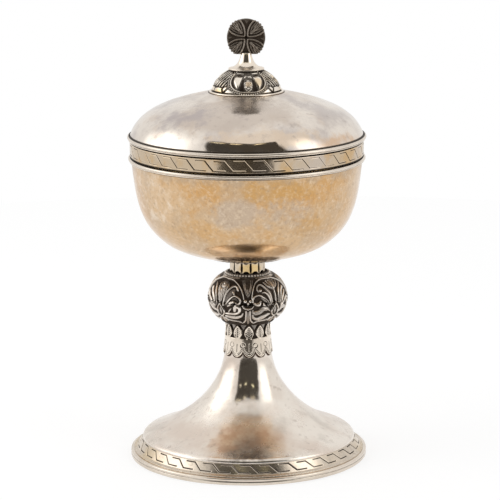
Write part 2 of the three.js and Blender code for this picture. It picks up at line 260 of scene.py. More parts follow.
# Carving: strokes drawn on a surface, each a ridge with a rounded back
def smoothStep(value, low, high):
    t = np.clip((value - low) / (high - low), 0, 1)
    return t * t * (3 - 2 * t)


def flowing(points, spans=8):  # a smooth path through given points
    points = np.array(points, float)
    padded = np.vstack([2 * points[0] - points[1], points, 2 * points[-1] - points[-2]])
    t = np.linspace(0, 1, spans, endpoint=False)[:, None]
    parts = []
    for a, b, c, d in zip(padded, padded[1:], padded[2:], padded[3:]):
        parts.append(
            0.5 * (2 * b + (c - a) * t + (2 * a - 5 * b + 4 * c - d) * t**2 + (3 * b - a - 3 * c + d) * t**3)
        )
    return np.concatenate([*parts, points[-1:]])


def nearness(places, path):  # how far each place is from the path, and how far along it
    best = np.full(places.shape[:-1], 1e9)
    along = np.zeros(places.shape[:-1])
    walked = 0.0
    for a, b in zip(path, path[1:]):
        step = b - a
        length = float(np.linalg.norm(step))
        share = np.clip(((places - a) @ step) / length**2, 0, 1)
        gap = np.linalg.norm(places - a - share[..., None] * step, axis=-1)
        nearer = gap < best
        best = np.where(nearer, gap, best)
        along = np.where(nearer, walked + share * length, along)
        walked += length
    return best, along, walked


def ridge(path, half, high=1.0, **style):  # a stroke: its path, half its widths and its height
    return {"path": path, "half": half, "high": high, **style}


def raised(places, stroke, toPlace):
    if len(stroke["path"]) > 1:
        path = toPlace(flowing(stroke["path"]))
    else:  # a dot
        path = toPlace(np.array(stroke["path"] * 2, float))
        path[1] += 1e-4
    gap, along, length = nearness(places, path)
    widths = stroke["half"]
    half = np.interp(along / length, np.linspace(0, 1, len(widths)), widths)
    body = np.clip(1 - (gap / half) ** 2, 0, 1) ** stroke.get("round", 0.55)
    if "vein" in stroke:  # a groove down the middle
        body = body * (1 - stroke["vein"] * np.clip(1 - gap / stroke.get("veinHalf", 0.28), 0, 1))
    if "hatch" in stroke:  # slanting cuts from the middle to the edge
        wave = np.cos((along + gap * 0.8) / stroke["hatch"] * fullTurn)
        body = body * (1 - 0.32 * np.clip(wave * 1.6 - 0.6, 0, 1) * smoothStep(gap / half, 0.05, 0.35))
    if "flute" in stroke:  # grooves that run with the path
        body = body * (0.82 + 0.18 * np.cos(gap * fullTurn / stroke["flute"]))
    if "beads" in stroke:  # notches across the path
        dip = stroke.get("dip", 0.36)
        body = body * (1 - dip + dip * np.cos(along * fullTurn / stroke["beads"]))
    return body * stroke["high"], gap - half


def carved(places, strokes, toPlace, moat=0.0):  # a moat cuts each stroke free of the ones before it
    height = np.zeros(places.shape[:-1])
    for stroke in strokes:
        body, beyond = raised(places, stroke, toPlace)
        free = stroke.get("moat", moat)
        if free:
            height = height * smoothStep(beyond, -0.1, free)
        height = np.maximum(height, body)
    return height


# Planishing: each hammer blow leaves a shallow facet
def hammered(outline, angle, size, depth, seed):
    random = np.random.default_rng(seed)
    gaps = np.linalg.norm(np.diff(outline, axis=0), axis=1)
    walked = np.concatenate([[0], np.cumsum(gaps)])
    blows = []
    for k in range(int(walked[-1] / size) + 2):
        radius = np.interp(k * size, walked, outline[:, 0])
        count = max(3, round(fullTurn * radius / size))
        turns = (np.arange(count) + random.uniform(0, 0.7, count)) * fullTurn / count
        blows.append((turns, (k + random.uniform(-0.25, 0.25, count)) * size))
    lift = np.zeros((len(outline), len(angle)))
    for i, (radius, level) in enumerate(zip(outline[:, 0], walked)):
        near = int(round(level / size))
        total = np.zeros(len(angle))
        for turns, levels in blows[max(0, near - 1): near + 2]:
            swing = (angle[:, None] - turns + math.pi) % fullTurn - math.pi
            square = ((radius * swing) ** 2 + (level - levels) ** 2) / size**2
            total += np.exp(-12 * square).sum(axis=1)
        nearest = -np.log(total + 1e-12) / 12
        lift[i] = -depth * np.clip(1 - nearest / 0.45, 0, 1)
    return lift


print("tools ready")


# Materials
def put(tree, kind, inputs=(), **settings):  # a shader node with its settings and its inputs or links
    node = tree.nodes.new("ShaderNode" + kind)
    for key, value in settings.items():
        setattr(node, key, value)
    for label, value in dict(inputs).items():
        if isinstance(value, bpy.types.NodeSocket):
            tree.links.new(value, node.inputs[label])
        else:
            node.inputs[label].default_value = value
    return node


def mixed(tree, share, a, b):  # blends two colours or links
    node = put(tree, "Mix", data_type="RGBA", clamp_result=True)
    for place, value in ((0, share), (6, a), (7, b)):
        if isinstance(value, bpy.types.NodeSocket):
            tree.links.new(value, node.inputs[place])
        else:
            node.inputs[place].default_value = value if place == 0 else (*value, 1)
    return node.outputs[2]


def newEffect(name, inputs, output):
    group = bpy.data.node_groups.new(name, "ShaderNodeTree")
    for label, value in inputs.items():
        socket = group.interface.new_socket(name=label, in_out="INPUT", socket_type="NodeSocketFloat")
        socket.default_value = value
    group.interface.new_socket(name=output, in_out="OUTPUT", socket_type="NodeSocketFloat")
    given = group.nodes.new("NodeGroupInput").outputs
    result = group.nodes.new("NodeGroupOutput").inputs[output]
    return group, given, result


def objectPlace(group):
    return put(group, "TexCoord").outputs["Object"]


def softRamp(group, value, low, high):  # 0 at low and 1 at high, with soft ends
    return put(group, "MapRange", {
        "Value": value, "From Min": low, "From Max": high,
    }, interpolation_type="SMOOTHSTEP").outputs["Result"]


# Cloudy patches: Mask is 1 in the patches
def cloudEffect():
    group, given, result = newEffect("clouds", {
        "Scale": 20, "Detail": 4, "Low": 0.4, "High": 0.6, "Seed": 0,
    }, "Mask")
    noise = put(group, "TexNoise", {
        "Vector": objectPlace(group), "W": given["Seed"], "Scale": given["Scale"], "Detail": given["Detail"],
        "Roughness": 0.6,
    }, noise_dimensions="4D")
    group.links.new(softRamp(group, noise.outputs["Fac"], given["Low"], given["High"]), result)
    return group


# Small round pits and stains: Mask is 1 in the middle of each
def speckEffect():
    group, given, result = newEffect("specks", {"Scale": 300, "Size": 0.2, "Share": 0.3, "Seed": 0}, "Mask")
    shift = put(group, "VectorMath", {0: objectPlace(group), 1: given["Seed"]}, operation="ADD").outputs[0]
    cells = put(group, "TexVoronoi", {"Vector": shift, "Scale": given["Scale"]})
    chosen = put(group, "Math", {0: cells.outputs["Color"], 1: given["Share"]}, operation="LESS_THAN")
    near = softRamp(group, cells.outputs["Distance"], given["Size"], 0.0)
    both = put(group, "Math", {0: chosen.outputs["Value"], 1: near}, operation="MULTIPLY")
    group.links.new(both.outputs["Value"], result)
    return group


# One stain at a chosen place, in metres: Mask is 1 in its middle and ragged at its edge
def stainEffect():
    group, given, result = newEffect("stain", {
        "X": 0, "Y": 0, "Z": 0, "Width": 0.01, "Height": 0.01, "Ragged": 1.2, "Scale": 150,
    }, "Mask")
    place = objectPlace(group)
    middle = put(group, "CombineXYZ", {"X": given["X"], "Y": given["Y"], "Z": given["Z"]})
    size = put(group, "CombineXYZ", {"X": given["Width"], "Y": given["Width"], "Z": given["Height"]})
    away = put(group, "VectorMath", {0: place, 1: middle.outputs["Vector"]}, operation="SUBTRACT")
    share = put(group, "VectorMath", {0: away.outputs[0], 1: size.outputs[0]}, operation="DIVIDE")
    reach = put(group, "VectorMath", {0: share.outputs["Vector"]}, operation="LENGTH").outputs["Value"]
    noise = put(group, "TexNoise", {"Vector": place, "Scale": given["Scale"], "Detail": 6, "Roughness": 0.65})
    centred = put(group, "Math", {0: noise.outputs["Fac"], 1: 0.5}, operation="SUBTRACT").outputs["Value"]
    ragged = put(group, "Math", {0: centred, 1: given["Ragged"], 2: reach}, operation="MULTIPLY_ADD")
    group.links.new(softRamp(group, ragged.outputs["Value"], 1.0, 0.55), result)
    return group


# Fine rubbing marks: Mask is 1 on the scratches
def scratchEffect():
    group, given, result = newEffect("scratches", {"Scale": 60, "Thin": 0.03, "Turn": 0.6, "Seed": 0}, "Mask")
    spun = put(group, "VectorRotate", {
        "Vector": objectPlace(group), "Angle": given["Turn"], "Axis": (0.3, 0.8, 0.5),
    })
    long = put(group, "Mapping", {"Vector": spun.outputs["Vector"], "Scale": (1, 1, 0.06)})
    noise = put(group, "TexNoise", {
        "Vector": long.outputs["Vector"], "W": given["Seed"], "Scale": given["Scale"], "Detail": 3,
    }, noise_dimensions="4D")
    off = put(group, "Math", {0: noise.outputs["Fac"], 1: 0.5}, operation="SUBTRACT")
    size = put(group, "Math", {0: off.outputs["Value"]}, operation="ABSOLUTE")
    step = put(group, "MapRange", {
        "Value": size.outputs["Value"], "From Min": given["Thin"], "From Max": 0.0,
    })
    group.links.new(step.outputs["Result"], result)
    return group


# The marks of a planishing hammer, for the bump
def planishEffect():
    group, given, result = newEffect("planish", {"Scale": 150, "Seed": 0}, "Height")
    shift = put(group, "VectorMath", {0: objectPlace(group), 1: given["Seed"]}, operation="ADD").outputs[0]
    cells = put(group, "TexVoronoi", {
        "Vector": shift, "Scale": given["Scale"], "Smoothness": 0.7,
    }, feature="SMOOTH_F1")
    square = put(group, "Math", {0: cells.outputs["Distance"], 1: 2.0}, operation="POWER")
    group.links.new(square.outputs["Value"], result)
    return group


# What rubbing leaves bright, with painted shade: Mask is 0 in the recesses of the carving and where shade is
# painted, and 1 on its backs
def wearAndShadeEffect():
    group, given, result = newEffect("wearAndShade", {"Low": 0.4, "High": 0.8, "Grime": 0.2, "Scale": 600}, "Mask")
    reliefAndShade = put(group, "Attribute", attribute_type="GEOMETRY", attribute_name="reliefAndShade").outputs["Fac"]
    noise = put(group, "TexNoise", {"Vector": objectPlace(group), "Scale": given["Scale"], "Detail": 3})
    centred = put(group, "Math", {0: noise.outputs["Fac"], 1: 0.5}, operation="SUBTRACT")
    grime = put(group, "Math", {0: centred.outputs["Value"], 1: given["Grime"]}, operation="MULTIPLY")
    total = put(group, "Math", {0: reliefAndShade, 1: grime.outputs["Value"]}, operation="ADD")
    group.links.new(softRamp(group, total.outputs["Value"], given["Low"], given["High"]), result)
    return group


effects = {
    "clouds": cloudEffect(),
    "specks": speckEffect(),
    "stain": stainEffect(),
    "scratches": scratchEffect(),
    "planish": planishEffect(),
    "wearAndShade": wearAndShadeEffect(),
}


def useEffect(tree, name, values):
    node = tree.nodes.new("ShaderNodeGroup")
    node.node_tree = effects[name]
    for label, value in values.items():
        node.inputs[label].default_value = value
    return node.outputs[0]


# What a look is made of: patches of another colour, each a share of what its masks leave
def cloud(scale, low, high, seed, detail=4):
    return {"Scale": scale, "Low": low, "High": high, "Seed": seed, "Detail": detail}


def spot(place, width, height, ragged=1.2, scale=150):  # metres
    x, y, z = place
    return {"X": x, "Y": y, "Z": z, "Width": width, "Height": height, "Ragged": ragged, "Scale": scale}


def patch(color, share, **masks):
    return {"color": color, "share": share, **masks}


haze = cloud(26, 0.3, 0.7, 3.1)


# A worn metal from its dictionary of looks
def wornMetal(name, look):
    material = bpy.data.materials.new(name)
    material.use_nodes = True
    tree = material.node_tree
    shader = tree.nodes["Principled BSDF"]
    shader.inputs["Metallic"].default_value = 1
    color = look["bright"]
    for stained in look.get("patches", ()):
        share = stained["share"]
        for kind in ("clouds", "stain", "scratches"):
            if kind in stained:
                mask = useEffect(tree, kind, stained[kind])
                share = put(tree, "Math", {0: mask, 1: share}, operation="MULTIPLY").outputs["Value"]
        color = mixed(tree, share, color, stained["color"])
    low, high = look["rough"]
    mask = useEffect(tree, "clouds", look.get("hazeClouds", haze))
    rough = put(tree, "MapRange", {"Value": mask, "To Min": low, "To Max": high}).outputs["Result"]
    if "dull" in look:  # one part of the piece is rubbed matt
        mask = useEffect(tree, "stain", look["dull"]["stain"])
        rough = put(tree, "MapRange", {"Value": mask, "To Min": rough, "To Max": look["dull"]["rough"]})
        rough = rough.outputs["Result"]
    if "specks" in look:
        mask = useEffect(tree, "specks", look["specks"])
        color = mixed(tree, mask, color, look["speckColor"])
    if "wearAndShade" in look:
        mask = useEffect(tree, "wearAndShade", look["wearAndShade"])
        color = mixed(tree, mask, look["recess"], color)
        rough = put(tree, "MapRange", {"Value": mask, "To Min": look["recessRough"], "To Max": rough})
        rough = rough.outputs["Result"]
    height = put(tree, "Math", {
        0: useEffect(tree, "planish", look["planish"]), 1: look["planishHeight"],
    }, operation="MULTIPLY").outputs["Value"]
    scratch = put(tree, "Math", {
        0: useEffect(tree, "scratches", look["scratches"]), 1: -look["scratchDepth"],
    }, operation="MULTIPLY").outputs["Value"]
    total = put(tree, "Math", {0: height, 1: scratch}, operation="ADD").outputs["Value"]
    bump = put(tree, "Bump", {"Height": total, "Strength": 1.0, "Distance": mm})
    tree.links.new(color, shader.inputs["Base Color"])
    tree.links.new(rough, shader.inputs["Roughness"])
    tree.links.new(bump.outputs["Normal"], shader.inputs["Normal"])
    return material


hammeredSilver = wornMetal("hammeredSilver", {
    "bright": (0.80, 0.73, 0.655),
    "patches": [
        patch((0.52, 0.46, 0.43), 0.85, clouds=cloud(32, 0.46, 0.62, 1.3, 10)),
        patch((0.64, 0.50, 0.385), 0.5, clouds=cloud(60, 0.5, 0.68, 8.7, 10)),
        patch((0.59, 0.505, 0.435), 0.8, stain=spot((-0.008, -0.044, 0.198), 0.042, 0.011, 1.3, 70)),
        patch((0.72, 0.585, 0.455), 0.8, stain=spot((0.012, -0.062, 0.187), 0.036, 0.006, 1.5)),
        patch((0.70, 0.51, 0.36), 0.95, clouds=cloud(90, 0.32, 0.56, 2.9, 9),
              stain=spot((0.050, -0.036, 0.1815), 0.021, 0.0065, 1.4)),
        patch((0.42, 0.36, 0.33), 0.6, clouds=cloud(200, 0.54, 0.72, 6.1, 6)),
        patch((0.46, 0.405, 0.395), 0.8, clouds=cloud(75, 0.4, 0.6, 4.4, 9),
              stain=spot((-0.034, -0.034, 0.195), 0.023, 0.008, 1.2)),
    ],
    "specks": {"Scale": 95, "Size": 0.16, "Share": 0.16},
    "speckColor": (0.36, 0.31, 0.27),
    "wearAndShade": {"Low": 0.2, "High": 0.7, "Grime": 0.3, "Scale": 500},
    "recess": (0.10, 0.08, 0.065), "recessRough": 0.45,
    "rough": (0.05, 0.09),
    "dull": {"stain": spot((0, 0, 0.2045), 0.056, 0.02, 0.5, 60), "rough": 0.3},
    "planish": {"Scale": 190}, "planishHeight": 0.07,
    "scratches": {"Scale": 240, "Thin": 0.02, "Turn": 0.7}, "scratchDepth": 0.002,
})
footSilver = wornMetal("footSilver", {
    "bright": (0.83, 0.765, 0.69),
    "patches": [
        patch((0.68, 0.575, 0.495), 0.8, clouds=cloud(30, 0.42, 0.64, 4.6, 8)),
        patch((0.56, 0.51, 0.45), 0.5, clouds=cloud(55, 0.5, 0.66, 7.1, 9)),
        # brown and dark grey patches low on the front of the foot: tarnish with a painted reflection of the
        # cup
        patch((0.58, 0.43, 0.335), 0.7, clouds=cloud(140, 0.36, 0.6, 2.8, 10),
              stain=spot((-0.004, -0.044, 0.0185), 0.022, 0.0115, 1.7)),
        patch((0.36, 0.32, 0.29), 0.75, clouds=cloud(300, 0.36, 0.6, 5.2, 10),
              stain=spot((-0.002, -0.055, 0.0128), 0.0145, 0.0042, 1.5)),
        patch((0.46, 0.39, 0.34), 0.5, clouds=cloud(260, 0.55, 0.7, 6.1, 6)),
        patch((0.30, 0.28, 0.26), 0.75, stain=spot((-0.0275, -0.0415, 0.0215), 0.0034, 0.0013, scale=500)),
        patch((0.34, 0.29, 0.25), 0.75, stain=spot((0.0515, -0.022, 0.0195), 0.0036, 0.0013, scale=500)),
    ],
    "specks": {"Scale": 120, "Size": 0.14, "Share": 0.14},
    "speckColor": (0.36, 0.31, 0.27),
    "wearAndShade": {"Low": 0.2, "High": 0.7, "Grime": 0.3, "Scale": 500},
    "recess": (0.075, 0.05, 0.036), "recessRough": 0.45,
    "rough": (0.08, 0.14),
    "dull": {"stain": spot((0, 0, 0.008), 0.085, 0.0355, 0.4, 60), "rough": 0.3},
    "planish": {"Scale": 190}, "planishHeight": 0.07,
    "scratches": {"Scale": 240, "Thin": 0.02, "Turn": 0.7}, "scratchDepth": 0.0015,
})
polishedSilver = wornMetal("polishedSilver", {
    "bright": (0.86, 0.765, 0.655),
    "patches": [
        patch((0.68, 0.59, 0.49), 0.6, clouds=cloud(60, 0.42, 0.66, 4.2)),
    ],
    "wearAndShade": {"Low": 0.3, "High": 0.85, "Grime": 0.3, "Scale": 900},
    "recess": (0.06, 0.048, 0.038), "recessRough": 0.5,
    "rough": (0.05, 0.12),
    "dull": {"stain": spot((0, 0, 0.2172), 0.016, 0.0022, 0.3), "rough": 0.34},
    "planish": {"Scale": 260}, "planishHeight": 0.01,
    "scratches": {"Scale": 300, "Thin": 0.02, "Turn": 1.9}, "scratchDepth": 0.0015,
})
wornWire = wornMetal("wornWire", {
    "bright": (0.74, 0.66, 0.57),
    "patches": [
        patch((0.60, 0.52, 0.43), 0.6, clouds=cloud(80, 0.42, 0.66, 5.2)),
    ],
    "wearAndShade": {"Low": 0.3, "High": 0.85, "Grime": 0.3, "Scale": 700},
    "recess": (0.035, 0.027, 0.02), "recessRough": 0.5,
    "rough": (0.14, 0.26),
    "planish": {"Scale": 260}, "planishHeight": 0.02,
    "scratches": {"Scale": 300, "Thin": 0.02, "Turn": 1.9}, "scratchDepth": 0.0015,
})
tannedSilver = wornMetal("tannedSilver", {
    "bright": (0.63, 0.43, 0.245),
    "patches": [
        patch((0.69, 0.51, 0.335), 0.75, clouds=cloud(26, 0.42, 0.62, 2.6, 8)),
        patch((0.60, 0.335, 0.12), 0.85, clouds=cloud(30, 0.47, 0.62, 5.5, 10)),
        patch((0.59, 0.345, 0.13), 0.95, stain=spot((0.015, -0.061, 0.160), 0.026, 0.009, 1.6)),
        patch((0.60, 0.36, 0.15), 0.9, stain=spot((0.031, -0.049, 0.141), 0.011, 0.009, 1.6)),
        patch((0.62, 0.38, 0.17), 0.8, stain=spot((-0.026, -0.050, 0.137), 0.014, 0.008, 1.6)),
        patch((0.54, 0.42, 0.31), 0.95, stain=spot((-0.007, -0.061, 0.1475), 0.0145, 0.0115, 1.1)),
        patch((0.56, 0.43, 0.315), 0.85, clouds=cloud(150, 0.38, 0.6, 1.7, 8),
              stain=spot((0.019, -0.057, 0.1475), 0.022, 0.011, 1.5)),
        patch((0.46, 0.36, 0.26), 0.7, clouds=cloud(110, 0.34, 0.58, 3.4, 10),
              stain=spot((0, 0, 0.1685), 0.11, 0.0095, 0.6)),
        patch((0.52, 0.41, 0.30), 0.45, clouds=cloud(62, 0.46, 0.64, 6.6, 12)),
        patch((0.84, 0.68, 0.50), 0.42, clouds=cloud(420, 0.46, 0.72, 7.7, 12)),
        patch((0.86, 0.74, 0.60), 0.4, clouds=cloud(70, 0.46, 0.62, 1.2, 8),
              scratches={"Scale": 300, "Thin": 0.016, "Turn": 0.9}),
        patch((0.86, 0.74, 0.60), 0.6, clouds=cloud(140, 0.45, 0.66, 4.9, 12),
              stain=spot((-0.052, -0.03, 0.15), 0.03, 0.019, 1.4)),
        patch((0.38, 0.265, 0.165), 0.5, clouds=cloud(520, 0.5, 0.7, 9.4, 10)),
    ],
    "specks": {"Scale": 150, "Size": 0.13, "Share": 0.16},
    "speckColor": (0.34, 0.24, 0.15),
    "wearAndShade": {"Low": 0.2, "High": 0.7, "Grime": 0.3, "Scale": 500},
    "recess": (0.10, 0.075, 0.055), "recessRough": 0.45,
    "hazeClouds": cloud(40, 0.3, 0.7, 6.3),
    "rough": (0.11, 0.21),
    "planish": {"Scale": 170}, "planishHeight": 0.05,
    "scratches": {"Scale": 330, "Thin": 0.03, "Turn": 0.35}, "scratchDepth": 0.003,
})
giltLook = {
    "bright": (0.62, 0.50, 0.36),
    "patches": [
        patch((0.62, 0.545, 0.475), 0.8, clouds=cloud(28, 0.45, 0.6, 7.4)),
        patch((0.64, 0.42, 0.195), 0.75, clouds=cloud(60, 0.5, 0.64, 0.8, 6)),
        patch((0.44, 0.34, 0.25), 0.4, clouds=cloud(260, 0.54, 0.7, 3.3, 6)),
    ],
    "wearAndShade": {"Low": 0.35, "High": 0.85, "Grime": 0.25, "Scale": 700},
    "recess": (0.03, 0.021, 0.015), "recessRough": 0.6,
    "rough": (0.07, 0.15),
    "planish": {"Scale": 420}, "planishHeight": 0.015,
    "scratches": {"Scale": 400, "Thin": 0.03, "Turn": 1.2}, "scratchDepth": 0.003,
}
giltSilver = wornMetal("giltSilver", giltLook)
wornGilt = wornMetal("wornGilt", {
    **giltLook, "bright": (0.66, 0.57, 0.47), "rough": (0.16, 0.28),
    "patches": [
        patch((0.62, 0.49, 0.32), 0.8, clouds=cloud(34, 0.48, 0.62, 7.4, 6)),
        patch((0.52, 0.46, 0.39), 0.6, clouds=cloud(120, 0.48, 0.64, 0.8, 8)),
        patch((0.36, 0.30, 0.24), 0.5, clouds=cloud(300, 0.54, 0.7, 3.3, 7)),
    ],
})
giltCollar = wornMetal("giltCollar", {
    "bright": (0.66, 0.56, 0.44),
    "patches": [
        patch((0.74, 0.54, 0.26), 0.95, stain=spot((0.001, -0.0098, 0.1072), 0.0082, 0.0034, 0.9, 400)),
        patch((0.50, 0.41, 0.31), 0.6, clouds=cloud(240, 0.5, 0.66, 7.4, 6)),
    ],
    "wearAndShade": {"Low": 0.35, "High": 0.85, "Grime": 0.25, "Scale": 900},
    "recess": (0.03, 0.021, 0.015), "recessRough": 0.6,
    "rough": (0.14, 0.28),
    "planish": {"Scale": 420}, "planishHeight": 0.02,
    "scratches": {"Scale": 400, "Thin": 0.03, "Turn": 1.2}, "scratchDepth": 0.003,
})
oxidisedSilver = wornMetal("oxidisedSilver", {
    "bright": (0.82, 0.75, 0.675),
    "patches": [
        patch((0.48, 0.41, 0.355), 0.6, clouds=cloud(170, 0.42, 0.65, 3.9, 6)),
        # a darker patch on the front of the upper knop: painted shade under the calyx
        patch((0.36, 0.31, 0.27), 0.3, stain=spot((0, -0.012, 0.099), 0.021, 0.0052, 0.5, 150)),
    ],
    "wearAndShade": {"Low": 0.08, "High": 0.95, "Grime": 0.3, "Scale": 1200},
    "recess": (0.06, 0.046, 0.036), "recessRough": 0.6,
    "rough": (0.12, 0.22),
    "planish": {"Scale": 900}, "planishHeight": 0.02,
    "scratches": {"Scale": 500, "Thin": 0.03, "Turn": 2.4}, "scratchDepth": 0.004,
})
chasedSilver = wornMetal("chasedSilver", {
    "bright": (0.84, 0.77, 0.68),
    "patches": [
        patch((0.74, 0.58, 0.38), 0.6, clouds=cloud(90, 0.46, 0.64, 5.9, 4)),
        patch((0.80, 0.58, 0.36), 0.7, stain=spot((0.0012, -0.0165, 0.2106), 0.0022, 0.0022, 1.4, 900)),
        patch((0.76, 0.58, 0.34), 0.9, stain=spot((-0.0145, -0.0115, 0.2055), 0.0062, 0.0032, 0.8, 500)),
        patch((0.80, 0.63, 0.42), 0.8, stain=spot((0.0062, -0.0145, 0.2116), 0.0034, 0.0032, 0.8, 500)),
    ],
    "wearAndShade": {"Low": 0.22, "High": 0.9, "Grime": 0.35, "Scale": 1200},
    "recess": (0.045, 0.034, 0.027), "recessRough": 0.5,
    "rough": (0.09, 0.2),
    "planish": {"Scale": 900}, "planishHeight": 0.02,
    "scratches": {"Scale": 500, "Thin": 0.03, "Turn": 2.4}, "scratchDepth": 0.004,
})
beadSilver = wornMetal("beadSilver", {
    "bright": (0.88, 0.82, 0.75),
    "wearAndShade": {"Low": 0.3, "High": 0.7, "Grime": 0.2, "Scale": 1200},
    "recess": (0.036, 0.027, 0.021), "recessRough": 0.8,
    "rough": (0.34, 0.42),
    "planish": {"Scale": 900}, "planishHeight": 0.01,
    "scratches": {"Scale": 500, "Thin": 0.03, "Turn": 2.4}, "scratchDepth": 0.002,
})
darkDisc = wornMetal("darkDisc", {
    "bright": (0.42, 0.365, 0.31),
    "patches": [
        patch((0.27, 0.225, 0.185), 0.6, clouds=cloud(200, 0.42, 0.65, 2.2, 6)),
    ],
    "wearAndShade": {"Low": 0.2, "High": 1.0, "Grime": 0.35, "Scale": 1400},
    "recess": (0.075, 0.057, 0.043), "recessRough": 0.5,
    "rough": (0.2, 0.34),
    "planish": {"Scale": 1100}, "planishHeight": 0.03,
    "scratches": {"Scale": 500, "Thin": 0.03, "Turn": 2.4}, "scratchDepth": 0.004,
})
gildedInside = wornMetal("gildedInside", {
    "bright": (0.83, 0.60, 0.29),
    "patches": [
        patch((0.72, 0.46, 0.17), 0.6, clouds=cloud(35, 0.45, 0.7, 6.8)),
        patch((0.70, 0.58, 0.42), 0.5, clouds=cloud(90, 0.54, 0.68, 1.9, 7)),
    ],
    "rough": (0.12, 0.26),
    "planish": {"Scale": 170}, "planishHeight": 0.06,
    "scratches": {"Scale": 250, "Thin": 0.02, "Turn": 0.9}, "scratchDepth": 0.002,
})
plainSteel = wornMetal("plainSteel", {
    "bright": (0.42, 0.42, 0.43),
    "patches": [
        patch((0.30, 0.27, 0.24), 0.6, clouds=cloud(120, 0.4, 0.65, 1.1)),
    ],
    "rough": (0.3, 0.45),
    "planish": {"Scale": 500}, "planishHeight": 0.01,
    "scratches": {"Scale": 800, "Thin": 0.05, "Turn": 0.2}, "scratchDepth": 0.004,
})
print("materials ready")


# Foot wire: a round wire with a groove along its side
footWire = {
    "width": 3.6, "corner": 1.0, "grooveLevel": 2.15, "grooveHalf": 0.3, "grooveDepth": 0.3, "columns": 400,
}


def makeFootWire():
    inner = footWireRadius - footWire["width"]
    level, half, deep = footWire["grooveLevel"], footWire["grooveHalf"], footWire["grooveDepth"]
    side = [
        (inner, floorLevel), (footWireRadius, floorLevel), (footWireRadius, level - half),
        (footWireRadius - deep, level), (footWireRadius, level + half),
        (footWireRadius - 0.1, footWireTop), (inner, footWireTop),
    ]
    outline = line(softened(side, footWire["corner"]), 0.5)

    def carve(run, points, angle):
        wear = 0.04 * np.sin(angle * 7 + 1) + 0.03 * np.sin(angle * 17)
        reliefAndShade = np.where(np.abs(points[:, 1:] - level) < half * 0.7, 0.6, 1.0)
        outside = points[:, :1] > footWireRadius - 1
        return (np.abs(wear) - 0.08) * outside, reliefAndShade * np.ones_like(angle)

    part = turnedPart([outline], footWire["columns"], carve)
    return addPiece("footWire", part, "base", ["foot_rim_wire"], "silver_hammered", wornWire)


makeFootWire()


# The engraved bands: a running line of slants, each with a dash at its top and at its foot
def engravedLines(across, up, pitch, cut):
    # Across runs round the band in millimetres and up from the lower line to the upper one, 0 to 1.
    tall = cut["tall"]
    place = np.stack([across, up * tall], axis=-1)
    depth = np.zeros(across.shape)
    slant = [(0.0, tall), (cut["run"], 0.0)]
    strokes = [
        (slant, cut["slantHalf"], 1.0),
        ([(-share * pitch, tall) for share in cut["topDash"]], cut["dashHalf"], cut["dashDepth"]),
        ([(cut["run"] + share * pitch, 0.0) for share in cut["footDash"]], cut["dashHalf"], cut["dashDepth"]),
    ]
    for shift in (-pitch, 0, pitch):
        for path, half, deep in strokes:
            moved = np.array(path, float) + (shift, 0)
            gap = nearness(place, moved)[0]
            depth = np.maximum(depth, deep * np.clip(1 - (gap / half) ** 2, 0, 1) ** 0.8)
    return depth


# Foot band: a flat border, then the engraved bevel that climbs to the shoulder
footBand = {
    "wall": 1.1, "borderInner": 62.4, "borderThickness": 0.6, "topRadius": 59.2,
    "repeats": 36, "columns": 48, "depth": 0.35, "lowShare": 0.17, "highShare": 0.86, "turn": 1.0,
    "cut": {"tall": 4.2, "run": 4.2, "slantHalf": 0.34, "dashHalf": 0.34, "dashDepth": 0.95,
            "topDash": (0.5, 0.02), "footDash": (0.02, 0.56)},
}


def makeFootBand():
    inner, top, wall = footBand["borderInner"], footBand["topRadius"], footBand["wall"]
    skirt = footWireTop + 2 * footBand["borderThickness"]
    border = line(softened([
        (inner, footBandBottom), (borderRadius, footBandBottom),
        (borderRadius, footBandBottom + footBand["borderThickness"]), (inner, skirt),
    ], 0.15, closed=False), 0.3)
    bevel = line([(inner, skirt), (top, footBandTop)], 0.2)
    back = line([
        (top, footBandTop), (top - wall, footBandTop), (top - wall, footBandTop - wall),
        (inner - wall, footBandBottom), (inner, footBandBottom),
    ], 1.2)

    def carve(run, points, angle):
        share = (points[:, 1] - skirt) / (footBandTop - skirt)
        up = (share - footBand["lowShare"]) / (footBand["highShare"] - footBand["lowShare"])
        radius = points[:, 0]
        pitch = fullTurn * np.mean(radius[run == 1]) / footBand["repeats"]
        count = footBand["columns"]
        across = np.arange(count) / count * pitch
        depth = engravedLines(np.tile(across, (len(points), 1)), np.tile(up[:, None], (1, count)), pitch,
                              footBand["cut"])
        depth *= (run == 1)[:, None]
        depth = np.tile(depth, (1, footBand["repeats"]))
        random = np.random.default_rng(21)
        pits = random.uniform(0, 1, depth.shape) ** 30 * 0.25 * (run == 0)[:, None]
        press = 0.75 + 0.25 * np.sin(angle * 5 + 2) * np.sin(angle * 13)
        lift = -footBand["depth"] * depth * press - pits
        return lift, 1 - np.clip(depth * press * 1.2, 0, 1) - np.clip(pits * 2, 0, 0.5)

    columns = footBand["columns"] * footBand["repeats"]
    part = turnedPart([border, bevel, back], columns, carve, turn=footBand["turn"])
    return addPiece("footBand", part, "base", ["foot_band"], "gilt_band", wornGilt)


makeFootBand()


